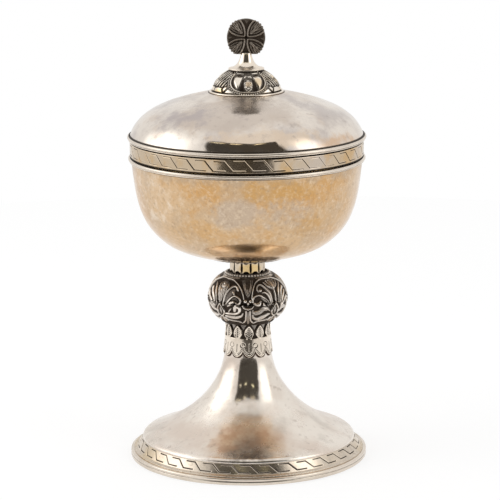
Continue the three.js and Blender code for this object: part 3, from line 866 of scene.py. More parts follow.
# Foot trumpet: the raised and planished shell up to the neck
trumpet = {
    "wall": 1.2, "shoulderInset": 1.5, "shoulderTop": 12.55,
    "handleA": (0.694, 0.225), "handleB": (0.974, 0.705),
    "waist": (13.25, 58.0), "blowSize": 7.5, "blowDepth": 0.07, "columns": 448, "step": 0.8, "neckStep": 0.25,
}
stemSlope = (sleeveRadius - trumpet["waist"][0]) / (sleeveBottom - trumpet["waist"][1])
leafStrip = {
    "count": 12, "turn": 2.8, "wall": 0.4, "gap": 0.1, "bandTop": 68.4, "valley": 61.5, "steps": 44,
    "ringLevel": 64.6, "ringHalf": 1.25, "ringLine": 0.24, "veinBottom": 60.6, "veinTop": 65.4, "edge": 0.42,
    "leafBottom": 67.7, "leafRows": 48, "leafHalfSteps": 20, "leafRise": 0.14, "tipCurl": 0.35,
    # Height above the leaf's foot as a share, and half its width there
    "leafShape": [(0, 1.75), (0.1, 1.45), (0.2, 1.8), (0.38, 2.5), (0.6, 2.3), (0.8, 1.45), (0.93, 0.6),
                  (1, 0.03)],
}


def stemRadius(height):  # the cone that the neck, the sleeve and the leaf strip share
    return trumpet["waist"][0] + stemSlope * (height - trumpet["waist"][1])


def hangingEdge(across):  # lower edge of the leaf strip: 0 across at a leaf's point, 1 between two leaves
    return leafPointBottom + (leafStrip["valley"] - leafPointBottom) * (0.4 * across + 0.6 * across**3.5)


def makeFootTrumpet():
    foot = trumpet["shoulderTop"]
    shoulder = evened(softened([
        (shellRadius, shellBottom), (shellRadius, shellBottom + 0.75),
        (shellRadius - 0.3 * trumpet["shoulderInset"], shellBottom + 1.5),
        (shellRadius - trumpet["shoulderInset"], foot),
    ], 0.6, closed=False), 0.25)
    rise = bend((shellRadius - trumpet["shoulderInset"], foot), trumpet["handleA"], trumpet["handleB"],
                trumpet["waist"], 200)
    low, high = rise[rise[:, 1] < 54], rise[rise[:, 1] >= 54]
    neck = evened(np.concatenate([high, [(stemRadius(neckTop), neckTop)]]), trumpet["neckStep"])
    skin = np.concatenate([shoulder, evened(low, trumpet["step"])[1:], neck])
    back = inset(skin, trumpet["wall"])
    back[:, 1] = np.clip(back[:, 1], shellBottom, neckTop)
    back = back[::2]
    outside = np.concatenate([skin, back[:1]])

    def carve(run, points, angle):
        lift = hammered(points, angle, trumpet["blowSize"], trumpet["blowDepth"], 5)
        fade = smoothStep(points[:, 1], foot, foot + 3) * (1 - smoothStep(points[:, 1], 50, 56))
        turned = (angle - math.radians(leafStrip["turn"])) / fullTurn * leafStrip["count"]
        across = np.abs((turned + 0.5) % 1 - 0.5) * 2
        # painted shadow with some dirt: the recess colour just under the leaf strip's lower edge, widest
        # between two points
        below = hangingEdge(across) - points[:, 1:]
        paintedShade = 1 - smoothStep(below, 0.3 + 1.0 * across, 0.75 + 1.9 * across)
        return lift * (fade * (run == 0))[:, None], 1 - paintedShade * (run == 0)[:, None]

    part = turnedPart([outside, back], trumpet["columns"], carve)
    return addPiece("footTrumpet", part, "base", ["foot_shell"], "silver_hammered", footSilver)


makeFootTrumpet()
print("foot ready")


# Leaf strip: a pierced band with leaves standing on it and leaf points hanging from it
def makeLeafStrip():
    count, steps = leafStrip["count"], leafStrip["steps"]
    seat = leafStrip["gap"]
    columns = count * steps
    angle = np.arange(columns) * fullTurn / columns
    across = np.abs((np.arange(columns) / steps + 0.5) % 1 - 0.5) * 2  # 0 on a leaf, 1 between leaves
    lower = hangingEdge(across)
    upShare = np.linspace(0, 1, 56)[:, None]
    height = lower + upShare * (leafStrip["bandTop"] - lower)
    halfPitch = fullTurn * stemRadius(height) / count / 2
    side = across * halfPitch
    slope = np.gradient(lower) / np.gradient(angle) / stemRadius(lower)
    fromEdge = (height - lower) / np.sqrt(1 + slope**2)
    groove = np.clip(1 - np.abs(fromEdge - leafStrip["edge"] - 0.25) / 0.24, 0, 1)
    ring = np.hypot(halfPitch - side, height - leafStrip["ringLevel"])
    ringed = np.clip(1 - np.abs(ring - leafStrip["ringHalf"]) / leafStrip["ringLine"], 0, 1)
    groove = np.maximum(groove, ringed)
    vein = np.clip(1 - side / 0.24, 0, 1)
    vein = vein * (height > leafStrip["veinBottom"]) * (height < leafStrip["veinTop"])
    groove = np.maximum(groove, vein)
    stroke = np.clip(np.cos((height + side * 0.9) / 1.1 * fullTurn) * 3 - 1.6, 0, 1)
    inTip = (fromEdge > 0.9) * (fromEdge < 2.0) * (side > 0.45) * (height < 62.8)
    groove = np.maximum(groove, stroke * inTip)
    skin = stemRadius(height) + seat + leafStrip["wall"] - 0.16 * groove
    dome = 0.16 * (1 - across**2) * (1 - upShare)
    edge = np.clip(1 - fromEdge / 0.2, 0, 1) + np.clip(1 - (leafStrip["bandTop"] - height) / 0.2, 0, 1)
    outer = around(angle, skin + dome - 0.12 * edge, height)
    backShare = np.linspace(1, 0, 8)[:, None]
    backHeight = lower + backShare * (leafStrip["bandTop"] - lower)
    back = around(angle, stemRadius(backHeight) + seat + 0.5 * dome.min(), backHeight)
    reliefAndShade = np.concatenate([1 - groove, np.ones((8, columns))])
    turn = Matrix.Rotation(math.radians(leafStrip["turn"]), 3, "Z")
    spin = np.array(turn)
    band = gridPart(np.concatenate([outer, back]) @ spin.T, reliefAndShade, True)

    shape = flowing(leafStrip["leafShape"], 10)
    share = np.linspace(0, 1, leafStrip["leafRows"])
    half = np.maximum(np.interp(share, shape[:, 0], shape[:, 1]), 0.02)
    level = leafStrip["leafBottom"] + share * (leafTip - leafStrip["leafBottom"])
    u = np.linspace(-1, 1, leafStrip["leafHalfSteps"])
    section = np.concatenate([u, u[::-1]])
    front = np.concatenate([np.ones(len(u)), np.zeros(len(u))])
    rim = smoothStep(np.abs(section), 0.52, 0.72)
    slanted = level[:, None] - 1.1 * np.abs(section) * half[:, None]
    ribs = np.clip(np.cos(slanted / 1.15 * fullTurn) * 2 - 0.7, 0, 1)
    midrib = np.clip(1 - np.abs(section) * half[:, None] / 0.3, 0, 1)
    veins = np.maximum(np.maximum(ribs * 0.95, midrib), 0.12) * (1 - rim)
    veins *= smoothStep(share, 0.04, 0.2)[:, None]
    veins *= 1 - smoothStep(share, 0.82, 0.92)[:, None]
    lift = (leafStrip["leafRise"] * rim - 0.14 * veins) * front + leafStrip["wall"] * front
    lift = lift * (1 - 0.35 * (np.abs(section) > 0.99))
    curl = leafStrip["tipCurl"] * smoothStep(share, 0.45, 1)[:, None] ** 2
    parts = [band]
    for k in range(count):
        centre = fullTurn * k / count
        radius = stemRadius(level)[:, None] + seat + lift + curl
        turned = centre + section * half[:, None] / stemRadius(level)[:, None]
        leaf = around(turned, radius, level[:, None] * np.ones(len(section)))
        leaf[0] = leaf[0].mean(axis=0)
        leaf[-1] = leaf[-1].mean(axis=0)
        parts.append(gridPart(leaf @ spin.T, 1 - veins * front, False))
    return addPiece("leafStrip", parts, "base", ["leaf_strip"], "silver_polished", polishedSilver)


makeLeafStrip()


# Stem sleeve: dark, with blunt leaf backs that show between the standing leaves
stemSleeve = {"wall": 1.2, "ground": 0.3, "backTop": 76.6, "backPoint": 72.8, "columns": 360, "step": 0.25}


def makeStemSleeve():
    skin = line([
        (stemRadius(sleeveBottom), sleeveBottom), (stemRadius(knopBottom), knopBottom),
    ], stemSleeve["step"])
    back = line(inset(skin, stemSleeve["wall"])[[0, -1]], 2)

    def carve(run, points, angle):
        across = np.abs((angle / fullTurn * leafStrip["count"]) % 1 - 0.5) * 2  # 1 behind a leaf, 0 between
        low, high = stemSleeve["backPoint"], stemSleeve["backTop"]
        wide = (points[:, 1:] - low) / (high - low) * 0.8
        back = smoothStep(wide - across, 0.0, 0.12) * (run == 0)[:, None]
        lift = -stemSleeve["ground"] * (1 - back) * (run == 0)[:, None]
        return lift, 0.08 + 0.36 * back

    part = turnedPart([skin, back], stemSleeve["columns"], carve, turn=leafStrip["turn"])
    return addPiece("stemSleeve", part, "base", ["stem_sleeve"], "silver_oxidised", oxidisedSilver)


makeStemSleeve()


# Knop: four palmettes between four trunks, chased out of a dark ground
knop = {
    "swell": 14.0, "roundness": 1.1, "halfHeight": 13.3, "wall": 2.4, "rodHole": 2.8,
    "ground": 1.1, "turn": 0.4, "columns": 704, "step": 0.2, "matting": 0.09, "moat": 0.22,
}
# Strokes run through (degrees from a trunk, height): 0 is a trunk's middle and 45 a palmette's
trunkStrokes = [
    ridge([(45, 103.0), (30, 103.0), (20, 103.0), (8, 103.0)], [1.3, 1.2, 0.9, 0.35], 0.85),
    ridge([(0, 94.5), (0, 103)], [0.8, 2.2, 4.2], 0.26, round=0.3),
    ridge([(0, 94.2), (0, 98)], [0.3, 0.38], 0.72),
    ridge([(0, 95.6), (4.6, 99), (6.0, 102.2)], [0.34, 0.42, 0.25], 0.74),
    ridge([(1.8, 94.8), (9.4, 102.1)], [0.32, 0.36], 0.6),
    ridge([(2.9, 85.7), (3.3, 82), (4.6, 79.4), (10.5, 77.6)], [0.62, 0.62, 0.68, 0.42], 0.9),
    ridge([(0, 85.0), (0, 77.4)], [0.5, 0.9], 0.6),
    ridge([(0, 86.9), (5.6, 87.7), (8.7, 89.3)], [0.68, 0.62, 0.25], round=0.45),
    ridge([(4.0, 91.5)], [1.1], round=0.5),
    ridge([(0, 90.2)], [1.0], 0.95, round=0.5),
]
steepArch = [
    ridge([(45, 102.5), (36, 102.6), (27, 102.5), (20, 102.0), (13.5, 100.9), (9.6, 99.0), (7.4, 96.6),
          (6.2, 94), (5.9, 92.7)], [0.45, 0.45, 0.42, 0.42, 0.36], 0.88),
]
wideArch = [
    ridge([(45, 102.4), (36, 102.4), (27, 101.9), (18, 100.5), (11.5, 98.3), (7.8, 95.6), (6.3, 92.8)],
          [0.45, 0.45, 0.48, 0.48, 0.38], 0.88),
]
# The bud that ties each palmette together
budStrokes = [
    ridge([(36, 79.8), (27.9, 79.2), (17.8, 78.9), (11.5, 77.9)], [0.3, 0.7, 0.6, 0.3], 0.85),
    ridge([(45, 77.6), (45, 81.0)], [0.4, 1.1, 1.3, 0.8], 0.92, vein=0.5),
    ridge([(39.5, 80.9), (37, 79.0)], [0.55, 0.45], 0.95),
    ridge([(45, 89.4), (41.2, 87.4), (38.2, 85.1), (40.4, 83.0), (45, 81.7)], [0.5, 0.55, 0.6, 0.55, 0.5]),
    ridge([(45, 83.2), (45, 87.2)], [0.4, 0.85, 0.95, 0.35], 0.75, vein=0.5),
]
# The two palmettes that take turns round the knop, each as its left and its right half
splitLeft = [
    ridge([(38.8, 89), (37.1, 91.9), (35.3, 95.4), (31.2, 97.7), (26.3, 99.5), (21.8, 100.2), (16.5, 99.5),
          (14.9, 97.9), (17, 96.8)], [0.46, 0.68, 0.97, 1.08, 0.97, 0.68, 0.55, 0.52, 0.57], 0.95,
          beads=0.8, dip=0.17),
    ridge([(20.2, 97.2)], [0.97], 1.05, round=0.45),
    ridge([(35.6, 89.3), (33.8, 92.7), (30.7, 94.9), (26.4, 96), (22.6, 96)], [0.4, 0.57, 0.63, 0.57,
          0.28]),
    ridge([(33.9, 88.8), (29.2, 91.4), (24.3, 93.0), (19.5, 94.4), (14.4, 94.7), (9.2, 93.8), (6.9, 91.7),
          (8.2, 90.2)], [0.4, 0.57, 0.63, 0.57, 0.51, 0.57, 0.71, 0.8]),
    ridge([(8.6, 90.2), (12.2, 89.5), (16.6, 89.7), (18.7, 91.4)], [0.74, 1.08, 1.37, 0.46]),
    ridge([(20.6, 93.1), (27.4, 90.9), (32.2, 88.2)], [0.46, 0.97, 0.46], 0.5, hatch=0.8),
    ridge([(22.6, 90.0), (24.2, 88.9), (29, 87.3)], [0.68, 0.85, 0.28], 0.95),
    ridge([(6.7, 86.1), (9.3, 84.3), (16.8, 84.7), (23.2, 86.7), (30, 86.4), (34.5, 85.2)], [0.73, 1.46,
          1.97, 1.89, 1.46, 0.58], 0.78, flute=1.1),
    ridge([(8.3, 85.4), (14.9, 85.5), (20.6, 86.9)], [0.43, 0.62, 0.36]),
    ridge([(6.9, 83.2), (9.3, 81.1), (17.4, 80.4), (25, 81.6), (31.7, 82.9), (36, 83.2)], [0.58, 0.95, 1.68,
          2.04, 1.39, 0.43], 0.85, vein=0.3),
]
splitRight = [
    ridge([(39.7, 89.4), (37.7, 94), (33.5, 97), (25, 99.6)], [0.51, 0.73, 0.8, 0.58], 0.95),
    ridge([(36.7, 89.2), (29.5, 95.2), (21.7, 97)], [0.51, 0.73, 1.24], 0.98),
    ridge([(34.2, 88.1), (27.1, 91.9), (19.2, 95)], [0.51, 0.88, 0.73], 0.95),
    ridge([(33.6, 86.8), (25, 89.2), (15, 91), (11.6, 89.6), (14.6, 88.3)], [0.51, 0.88, 1.03, 0.88, 0.73]),
    ridge([(36, 84), (28, 86), (19, 85.4)], [0.58, 1.76, 1.16], 0.85, vein=0.4),
    ridge([(38, 82.2), (30, 81.2), (18, 81), (10.3, 82.7), (7.7, 84.4)], [0.58, 1.16, 1.31, 0.88, 0.43],
          0.95),
]
splitMiddle = [
    ridge([(42.5, 97.6), (36, 98.9), (30.5, 100.9)], [0.46, 0.71, 0.46]),
    ridge([(43.2, 97.4), (39.5, 99.4), (37, 101.6)], [0.57, 0.55, 0.39]),
    ridge([(45, 97.0), (44, 99), (42.6, 101.8)], [0.8, 0.57, 0.39]),
    ridge([(45, 89.6), (45, 96.8)], [0.46, 0.71, 0.71, 0.63], 0.8, round=0.45),
]
fullRight = [
    ridge([(36.4, 88.6), (33, 92.3), (28.8, 95.3), (23, 97.4)], [0.68, 1.71, 2.17, 1.48], 0.42, round=0.35,
          flute=0.8),
    ridge([(38.6, 88.4), (37.4, 92.1), (35.4, 95.1), (32, 97.3), (28, 98.7), (23, 99.4), (18.4, 98.9),
          (16.2, 97.6)], [0.4, 0.51, 0.57, 0.57, 0.57, 0.57, 0.68, 0.85]),
    ridge([(23.4, 96.3), (21.6, 95.2)], [0.68, 0.4], 1.05, round=0.45),
    ridge([(33.4, 89.4), (28.8, 91.9), (23.2, 93.9), (18.9, 94.3), (13.7, 93.3), (11.2, 91.7), (12.6, 90.2),
          (16, 89.8), (18.4, 90.7)], [0.46, 0.63, 0.57, 0.46, 0.57, 0.63, 0.63, 0.68, 0.34]),
    ridge([(24, 92.4), (19, 92.9), (15, 91.6)], [0.57, 0.85, 0.46], 0.4, vein=0.5),
    ridge([(30.6, 88.5), (26, 90), (21.5, 90.9)], [0.88, 1.39, 0.8], 0.9, hatch=0.8),
    ridge([(29.9, 85), (25.3, 87.1)], [0.51, 0.73, 0.36], 0.9),
    ridge([(36, 83.7), (27.7, 83.8), (20.3, 83.9), (15.4, 84.5), (12.7, 85.9), (13.2, 87.6), (16.8, 88.3),
          (19.6, 87.4), (20.2, 85.8)], [0.51, 0.76, 0.8, 0.8, 0.88, 1.09, 1.31, 1.46, 1.03]),
    ridge([(38, 82), (27.4, 81.5), (17.8, 81.6), (10.3, 82.7), (7.7, 84.4)], [0.58, 1.24, 1.31, 0.88, 0.43],
          0.95, vein=0.25),
]
fullLeft = [
    ridge([(39.4, 88.8), (36.4, 93), (32.8, 95.8), (28.6, 98.5), (24.6, 99.8)], [0.51, 0.7, 0.8, 0.73,
          0.58], 0.98),
    ridge([(36, 88.3), (29, 92.5), (22.5, 95.1), (18.8, 96.9)], [0.58, 1.24, 1.24, 1.39], 0.92, vein=0.25),
    ridge([(33.4, 87.2), (22.3, 89.8), (13.5, 91.9), (9.7, 94.1)], [0.58, 1.24, 1.39, 1.03], 0.9,
          vein=0.25),
    ridge([(35, 84.6), (26, 85.8), (16, 87.4)], [0.73, 2.04, 1.31], 0.85, flute=1.2),
    ridge([(38, 82.2), (30, 81.4), (18, 81.6), (10.3, 82.7), (7.7, 84.4)], [0.58, 1.24, 1.31, 0.88, 0.43],
          0.95),
]
fullMiddle = [
    ridge([(45, 89.2), (45, 98.9)], [0.57, 1.48, 2.51, 3.42, 4.1], 0.86, round=0.3, flute=1.05),
    ridge([(45, 99.6)], [2.51], 0.6, round=0.3),
    ridge([(44.6, 100.2)], [0.91], round=0.45),
    ridge([(45, 95.8), (43.2, 97.6)], [0.3, 0.43]),
    ridge([(41.6, 96.6), (39.4, 98.2)], [0.3, 0.43]),
]
palmettes = [
    (steepArch + splitLeft + splitMiddle, wideArch + splitRight + splitMiddle),
    (steepArch + fullLeft + fullMiddle, wideArch + fullRight + fullMiddle),
]


def onKnop(path):
    share = np.clip((path[:, 1] - knopMiddle) / (knop["halfHeight"] * knop["roundness"]), -1, 1)
    radius = knopRadius - knop["swell"] * (1 - np.sqrt(1 - share**2))
    return around(np.radians(path[:, 0]), radius, path[:, 1])


def carveKnop(run, points, angle):
    quarter = len(angle) // 4
    turn = np.degrees(angle[:quarter])
    folded = np.where(turn < 45, turn, 90 - turn)
    skin = np.flatnonzero(run == 0)
    quarters = []
    for left, right in palmettes:
        height = np.zeros((len(points), quarter))
        for wanted, strokes in ((turn < 45, left), (turn >= 45, right)):
            chosen = np.flatnonzero(wanted)
            places = around(np.radians(folded[chosen]), points[skin, :1], points[skin, 1:])
            height[np.ix_(skin, chosen)] = carved(
                places, trunkStrokes + strokes + budStrokes, onKnop, knop["moat"])
        quarters.append(height)
    height = np.tile(np.concatenate(quarters, axis=1), (1, 2))
    random = np.random.default_rng(11)
    matting = random.uniform(-1, 0, height.shape) * knop["matting"] * (1 - smoothStep(height, 0.1, 0.4))
    fromEdge = knop["halfHeight"] - np.abs(points[:, 1:] - knopMiddle)
    lift = (height - 1) * knop["ground"] * smoothStep(fromEdge, 0, 1.2) + matting
    return lift * (run == 0)[:, None], np.where((run == 0)[:, None], np.clip(height, 0, 1), 0.8)


def makeKnopHalf(name, node, side):
    last = math.asin(1 / knop["roundness"])
    turn = np.linspace(0, last, 200)
    radius = knopRadius - knop["swell"] * (1 - np.cos(turn))
    height = knopMiddle + side * knop["halfHeight"] * knop["roundness"] * np.sin(turn)
    skin = evened(np.stack([radius, height], axis=1), knop["step"])
    flat = line([skin[-1], (knop["rodHole"], skin[-1][1])], 2.5)
    middle = np.array([[radius[0] - knop["wall"], knopMiddle]])
    hollow = bend((radius[0] - knop["wall"], knopMiddle), (0, 0.5), (0.4, 1),
                  (radius[-1] - knop["wall"], skin[-1][1] - side * knop["wall"]), 10)[1:][::-1]
    hole = np.array([[knop["rodHole"], skin[-1][1] - side * knop["wall"]]])
    runs = [skin, flat[1:], np.concatenate([hole, hollow, middle])]
    if side < 0:  # an outline climbs on its outside
        runs = [run[::-1] for run in runs[::-1]]

    def carve(run, points, angle):
        return carveKnop(run if side > 0 else 2 - run, points, angle)

    part = turnedPart(runs, knop["columns"], carve, turn=knop["turn"])
    return addPiece(name, part, "base", [node], "silver_oxidised", oxidisedSilver)


makeKnopHalf("knopLower", "knop_lower", -1)
makeKnopHalf("knopUpper", "knop_upper", 1)


# Bead ring on top of the knop
beadRing = {
    "count": 45, "radius": 11.6, "beadHalf": 0.6, "baseHalf": 0.75, "rim": 0.3, "groundShadeLevel": 0.42,
    "columns": 180, "beadRows": 11, "beadSides": 14,
}


def makeBeadRing():
    half = beadRing["baseHalf"]
    middle = beadRing["radius"]
    # the base ring is darkened as painted shade between the beads
    base = turnedPart([softened([
        (middle - half, beadBottom), (middle + half, beadBottom),
        (middle + half, beadBottom + beadRing["rim"]),
        (middle - half + 0.2, beadTop), (middle - half, beadTop),
    ], 0.1)], beadRing["columns"], lambda run, points, angle: (0.0, beadRing["groundShadeLevel"]))
    up = np.linspace(-math.pi / 2, math.pi / 2, beadRing["beadRows"])
    size = beadRing["beadHalf"]
    parts = [base]
    for k in range(beadRing["count"]):
        turn = fullTurn * (k + 0.5) / beadRing["count"]
        turns = np.arange(beadRing["beadSides"]) * fullTurn / beadRing["beadSides"]
        ball = around(turns, size * np.maximum(np.cos(up), 1e-9)[:, None], size * np.sin(up)[:, None])
        ball[0], ball[-1] = ball[0].mean(axis=0), ball[-1].mean(axis=0)
        centre = around(np.array(turn), middle + half - size + 0.1, beadBottom + size + 0.05)
        # painted shade on the lower side of each bead
        reliefAndShade = 0.2 + 0.8 * smoothStep(np.sin(up), -0.7, -0.1)[:, None]
        parts.append(gridPart(ball + centre, reliefAndShade, False))
    return addPiece("beadRing", parts, "base", ["bead_ring"], "silver_oxidised", beadSilver)


makeBeadRing()


# Neck collar: gilt panels between pierced slots, nicked above and below; slots and nicks are cut shallow and
# painted with shade
neckCollar = {
    "cells": 12, "turn": -4.5, "wall": 1.2, "columns": 480, "step": 0.18, "deep": 0.95,
    "slotHalf": 0.56, "slotBottom": 105.0, "slotTop": 110.0, "nicks": ((104.2, 1.25), (110.8, 0.95)),
}


def makeNeckCollar():
    wall = neckCollar["wall"]
    skin = line(softened([
        (collarRadius - 0.3, collarBottom), (collarRadius, collarBottom + 0.2),
        (collarRadius, collarTop - 0.2),
        (collarRadius - 0.3, collarTop),
    ], 0.2, closed=False), neckCollar["step"])
    back = line([(collarRadius - 0.3, collarTop), (collarRadius - wall, collarTop),
                 (collarRadius - wall, collarBottom), (collarRadius - 0.3, collarBottom)], 3)

    def carve(run, points, angle):
        level = points[:, 1:]
        share = np.abs(((angle / fullTurn * neckCollar["cells"] + 0.5) % 1) - 0.5)  # 0 at a panel's middle
        side = share * fullTurn * collarRadius / neckCollar["cells"]
        fromSlot = fullTurn * collarRadius / neckCollar["cells"] / 2 - side
        middle = (neckCollar["slotBottom"] + neckCollar["slotTop"]) / 2
        tall = (neckCollar["slotTop"] - neckCollar["slotBottom"]) / 2
        waist = neckCollar["slotHalf"] * (1 + 0.1 * np.cos((level - middle) / tall * math.pi))
        slot = smoothStep(waist - fromSlot, -0.1, 0.12)
        slot = slot * smoothStep(tall - np.abs(level - middle), -0.1, 0.15)
        hole = slot
        for nick, half in neckCollar["nicks"]:
            away = np.hypot(side * 0.8, level - nick)
            hole = np.maximum(hole, smoothStep(half - away, -0.1, 0.12))
        outside = (run == 0)[:, None]
        frame = np.clip(1 - np.abs(np.abs(level - middle) - 3.1) / 0.16, 0, 1) * 0.5
        # the slots and nicks take the recess colour as painted shade; the frame line is engraving
        cut = np.maximum(hole, frame) * outside
        return -neckCollar["deep"] * hole * outside - 0.1 * frame * outside, 1 - cut

    part = turnedPart([skin, back], neckCollar["columns"], carve, turn=neckCollar["turn"])
    return addPiece("neckCollar", part, "base", ["neck_collar"], "gilt_band", giltCollar)


makeNeckCollar()
print("stem ready")


# Calyx: a shallow dish under the cup, ribbed like a flower's underside
calyx = {"wall": 0.8, "hole": 4.9, "seat": 17.3, "columns": 576, "ribs": 48, "ribDepth": 0.28, "step": 0.3}


def makeCalyx():
    seat, wall = calyx["seat"], calyx["wall"]
    rim = (calyxRadius - wall / 2, calyxTop - wall / 2)
    skin = line([
        (calyx["hole"], calyxBottom), (seat, calyxBottom), (rim[0], rim[1] - wall / 2),
    ], calyx["step"])
    lip = arc(rim, wall / 2, -90, 90, 8)[1:]
    back = line([lip[-1], (seat, calyxBottom + wall), (calyx["hole"], calyxBottom + wall)], 2)[1:]

    def carve(run, points, angle):
        reach = smoothStep(points[:, :1], 11, 13) * (run < 2)[:, None]
        rib = np.abs(np.cos(angle * calyx["ribs"] / 2))
        fromRib = np.abs(((angle * calyx["ribs"] / fullTurn) % 1) - 0.5)
        leafy = 0.5 + 0.5 * np.cos(points[:, :1] * 5 - fromRib * 9)
        cut = (1 - rib**0.7 * (0.65 + 0.35 * leafy)) * reach
        return -calyx["ribDepth"] * cut, 0.72 - 0.68 * cut

    part = turnedPart([skin, lip, back], calyx["columns"], carve)
    return addPiece("calyx", part, "base", ["calyx_plate"], "silver_oxidised", oxidisedSilver)


makeCalyx()


# Cup: raised and planished, tanned outside and gilded inside
cup = {
    "wall": 0.8, "footRadius": 17.0, "turnPoint": (44.2, 121.1), "sideTop": 166.6,
    "lowA": (0.313, 0.038), "lowB": (0.787, 0.492), "highA": (0.807, 0.239), "highB": (0.888, 0.535),
    "blowSize": 8.5, "blowDepth": 0.07, "columns": 396, "step": 0.9, "paintedShade": 0.8,
}


def makeCup():
    low = bend((cup["footRadius"], bowlBottom), cup["lowA"], cup["lowB"], cup["turnPoint"], 60)
    high = bend(cup["turnPoint"], cup["highA"], cup["highB"], (bowlRadius, cup["sideTop"]), 120)
    edge = bowlWireBottom - 1.6
    skin = evened(np.concatenate([[(0, bowlBottom)], low, high[1:], [(bowlRadius, bowlRim)]]), cup["step"])
    rim = evened(np.concatenate([high[high[:, 1] > edge], [(bowlRadius, bowlRim)]]), 0.2)
    skin = np.concatenate([skin[skin[:, 1] < edge - 0.3], rim])
    inside = inset(skin, cup["wall"])
    inside[-1] = (0, bowlBottom + cup["wall"])
    inside[:, 1] = np.minimum(inside[:, 1], bowlRim)
    skin[-1, 1] = bowlRim

    def carve(run, points, angle):
        lift = hammered(points, angle, cup["blowSize"], cup["blowDepth"], 9)
        fade = smoothStep(points[:, 0], 16, 24) * (1 - smoothStep(points[:, 1], 160, 164)) * (run == 0)
        # painted shade: the cup darkens just under the overhanging wire
        paintedShade = smoothStep(points[:, 1], bowlWireBottom - cup["paintedShade"], bowlWireBottom - 0.1) * (run == 0)
        return lift * fade[:, None], 1 - paintedShade[:, None] * np.ones_like(angle)

    part = turnedPart([skin, inside], cup["columns"], carve, inner=[1])
    return addPiece("cup", part, "base", ["bowl"], "tarnished_silver", tannedSilver, gildedInside)


makeCup()


# The two reeded wires: a thick reed with a thin one under it
def reededWire(name, node, body, inner, outer, bottom, top, wire):
    reeds = []
    for centre, half in ((wire["thinLevel"], wire["thinHalf"]), (wire["thickLevel"], wire["thickHalf"])):
        middle = bottom + centre * (top - bottom)
        tall = half * (top - bottom)
        reach = outer - inner if half == wire["thickHalf"] else (outer - inner) * wire["thinReach"]
        turn = np.linspace(-math.pi / 2 * 0.93, math.pi / 2 * 0.93, 12)
        start = reach - min(reach - 0.3, tall * 1.1)
        out = inner + start + (reach - start) * np.cos(turn)
        reeds.append(np.stack([out, middle + tall * np.sin(turn)], axis=1))
    outline = np.concatenate([
        [(inner, bottom), (inner + 0.5, bottom)], *reeds, [(inner + 0.5, top), (inner, top)],
        line([(inner, top), (inner, bottom)], 1)[1:-1],
    ])
    seam = inner + wire["seam"]

    def carve(run, points, angle):
        reliefAndShade = smoothStep(points[:, :1], seam - 0.15, seam + 0.15) * np.ones_like(angle)
        wave = 0.02 * np.sin(angle * 9) + 0.02 * np.sin(angle * 23 + 1)
        return (wave - 0.04) * (points[:, :1] > seam), reliefAndShade

    part = turnedPart([outline], wire["columns"], carve)
    return addPiece(name, part, body, [node], "silver_hammered", wornWire)


cupWire = {
    "gap": 0.1, "thickLevel": 0.6, "thickHalf": 0.35, "thinLevel": 0.12, "thinHalf": 0.12, "thinReach": 0.66,
    "seam": 0.8, "columns": 480,
}
reededWire("cupWire", "bowl_wire", "base", bowlRadius + cupWire["gap"], bowlWireRadius, bowlWireBottom,
           bowlWireTop, cupWire)

lidWire = {
    "gap": 0.1, "thickLevel": 0.56, "thickHalf": 0.33, "thinLevel": 0.12, "thinHalf": 0.11, "thinReach": 0.62,
    "seam": 0.75, "columns": 480,
}
reededWire("lidWire", "lid_wire", "lid",
           domeRadius + lidWire["gap"], lidWireRadius, lidWireBottom, lidWireTop,
           lidWire)


# Inner lip that the lid sits over
cupLip = {"wall": 1.0, "corner": 0.35, "columns": 360}


def makeCupLip():
    inner = lipRadius - cupLip["wall"]
    outline = line(softened([
        (inner, lipBottom), (lipRadius, lipBottom), (lipRadius, lipTop), (inner, lipTop),
    ], cupLip["corner"]), 0.9)
    part = turnedPart([outline], cupLip["columns"])
    return addPiece("cupLip", part, "base", ["bowl_lip"], "gilt_band", gildedInside)


makeCupLip()
print("cup ready")


# Lid band: the same engraving as on the foot, between two plain edges
lidBand = {
    "wall": 1.2, "repeats": 38, "columns": 54, "depth": 0.3,
    "lowLine": 171.3, "highLine": 176.6, "turn": -1.2,
    "recessFrom": 177.6, "recess": 0.5, "paintedShadeTop": 169.95,
    "cut": {"tall": 5.3, "run": 4.6, "slantHalf": 0.3, "dashHalf": 0.26, "dashDepth": 0.8,
            "topDash": (0.5, 0.04), "footDash": (0.02, 0.62)},
}


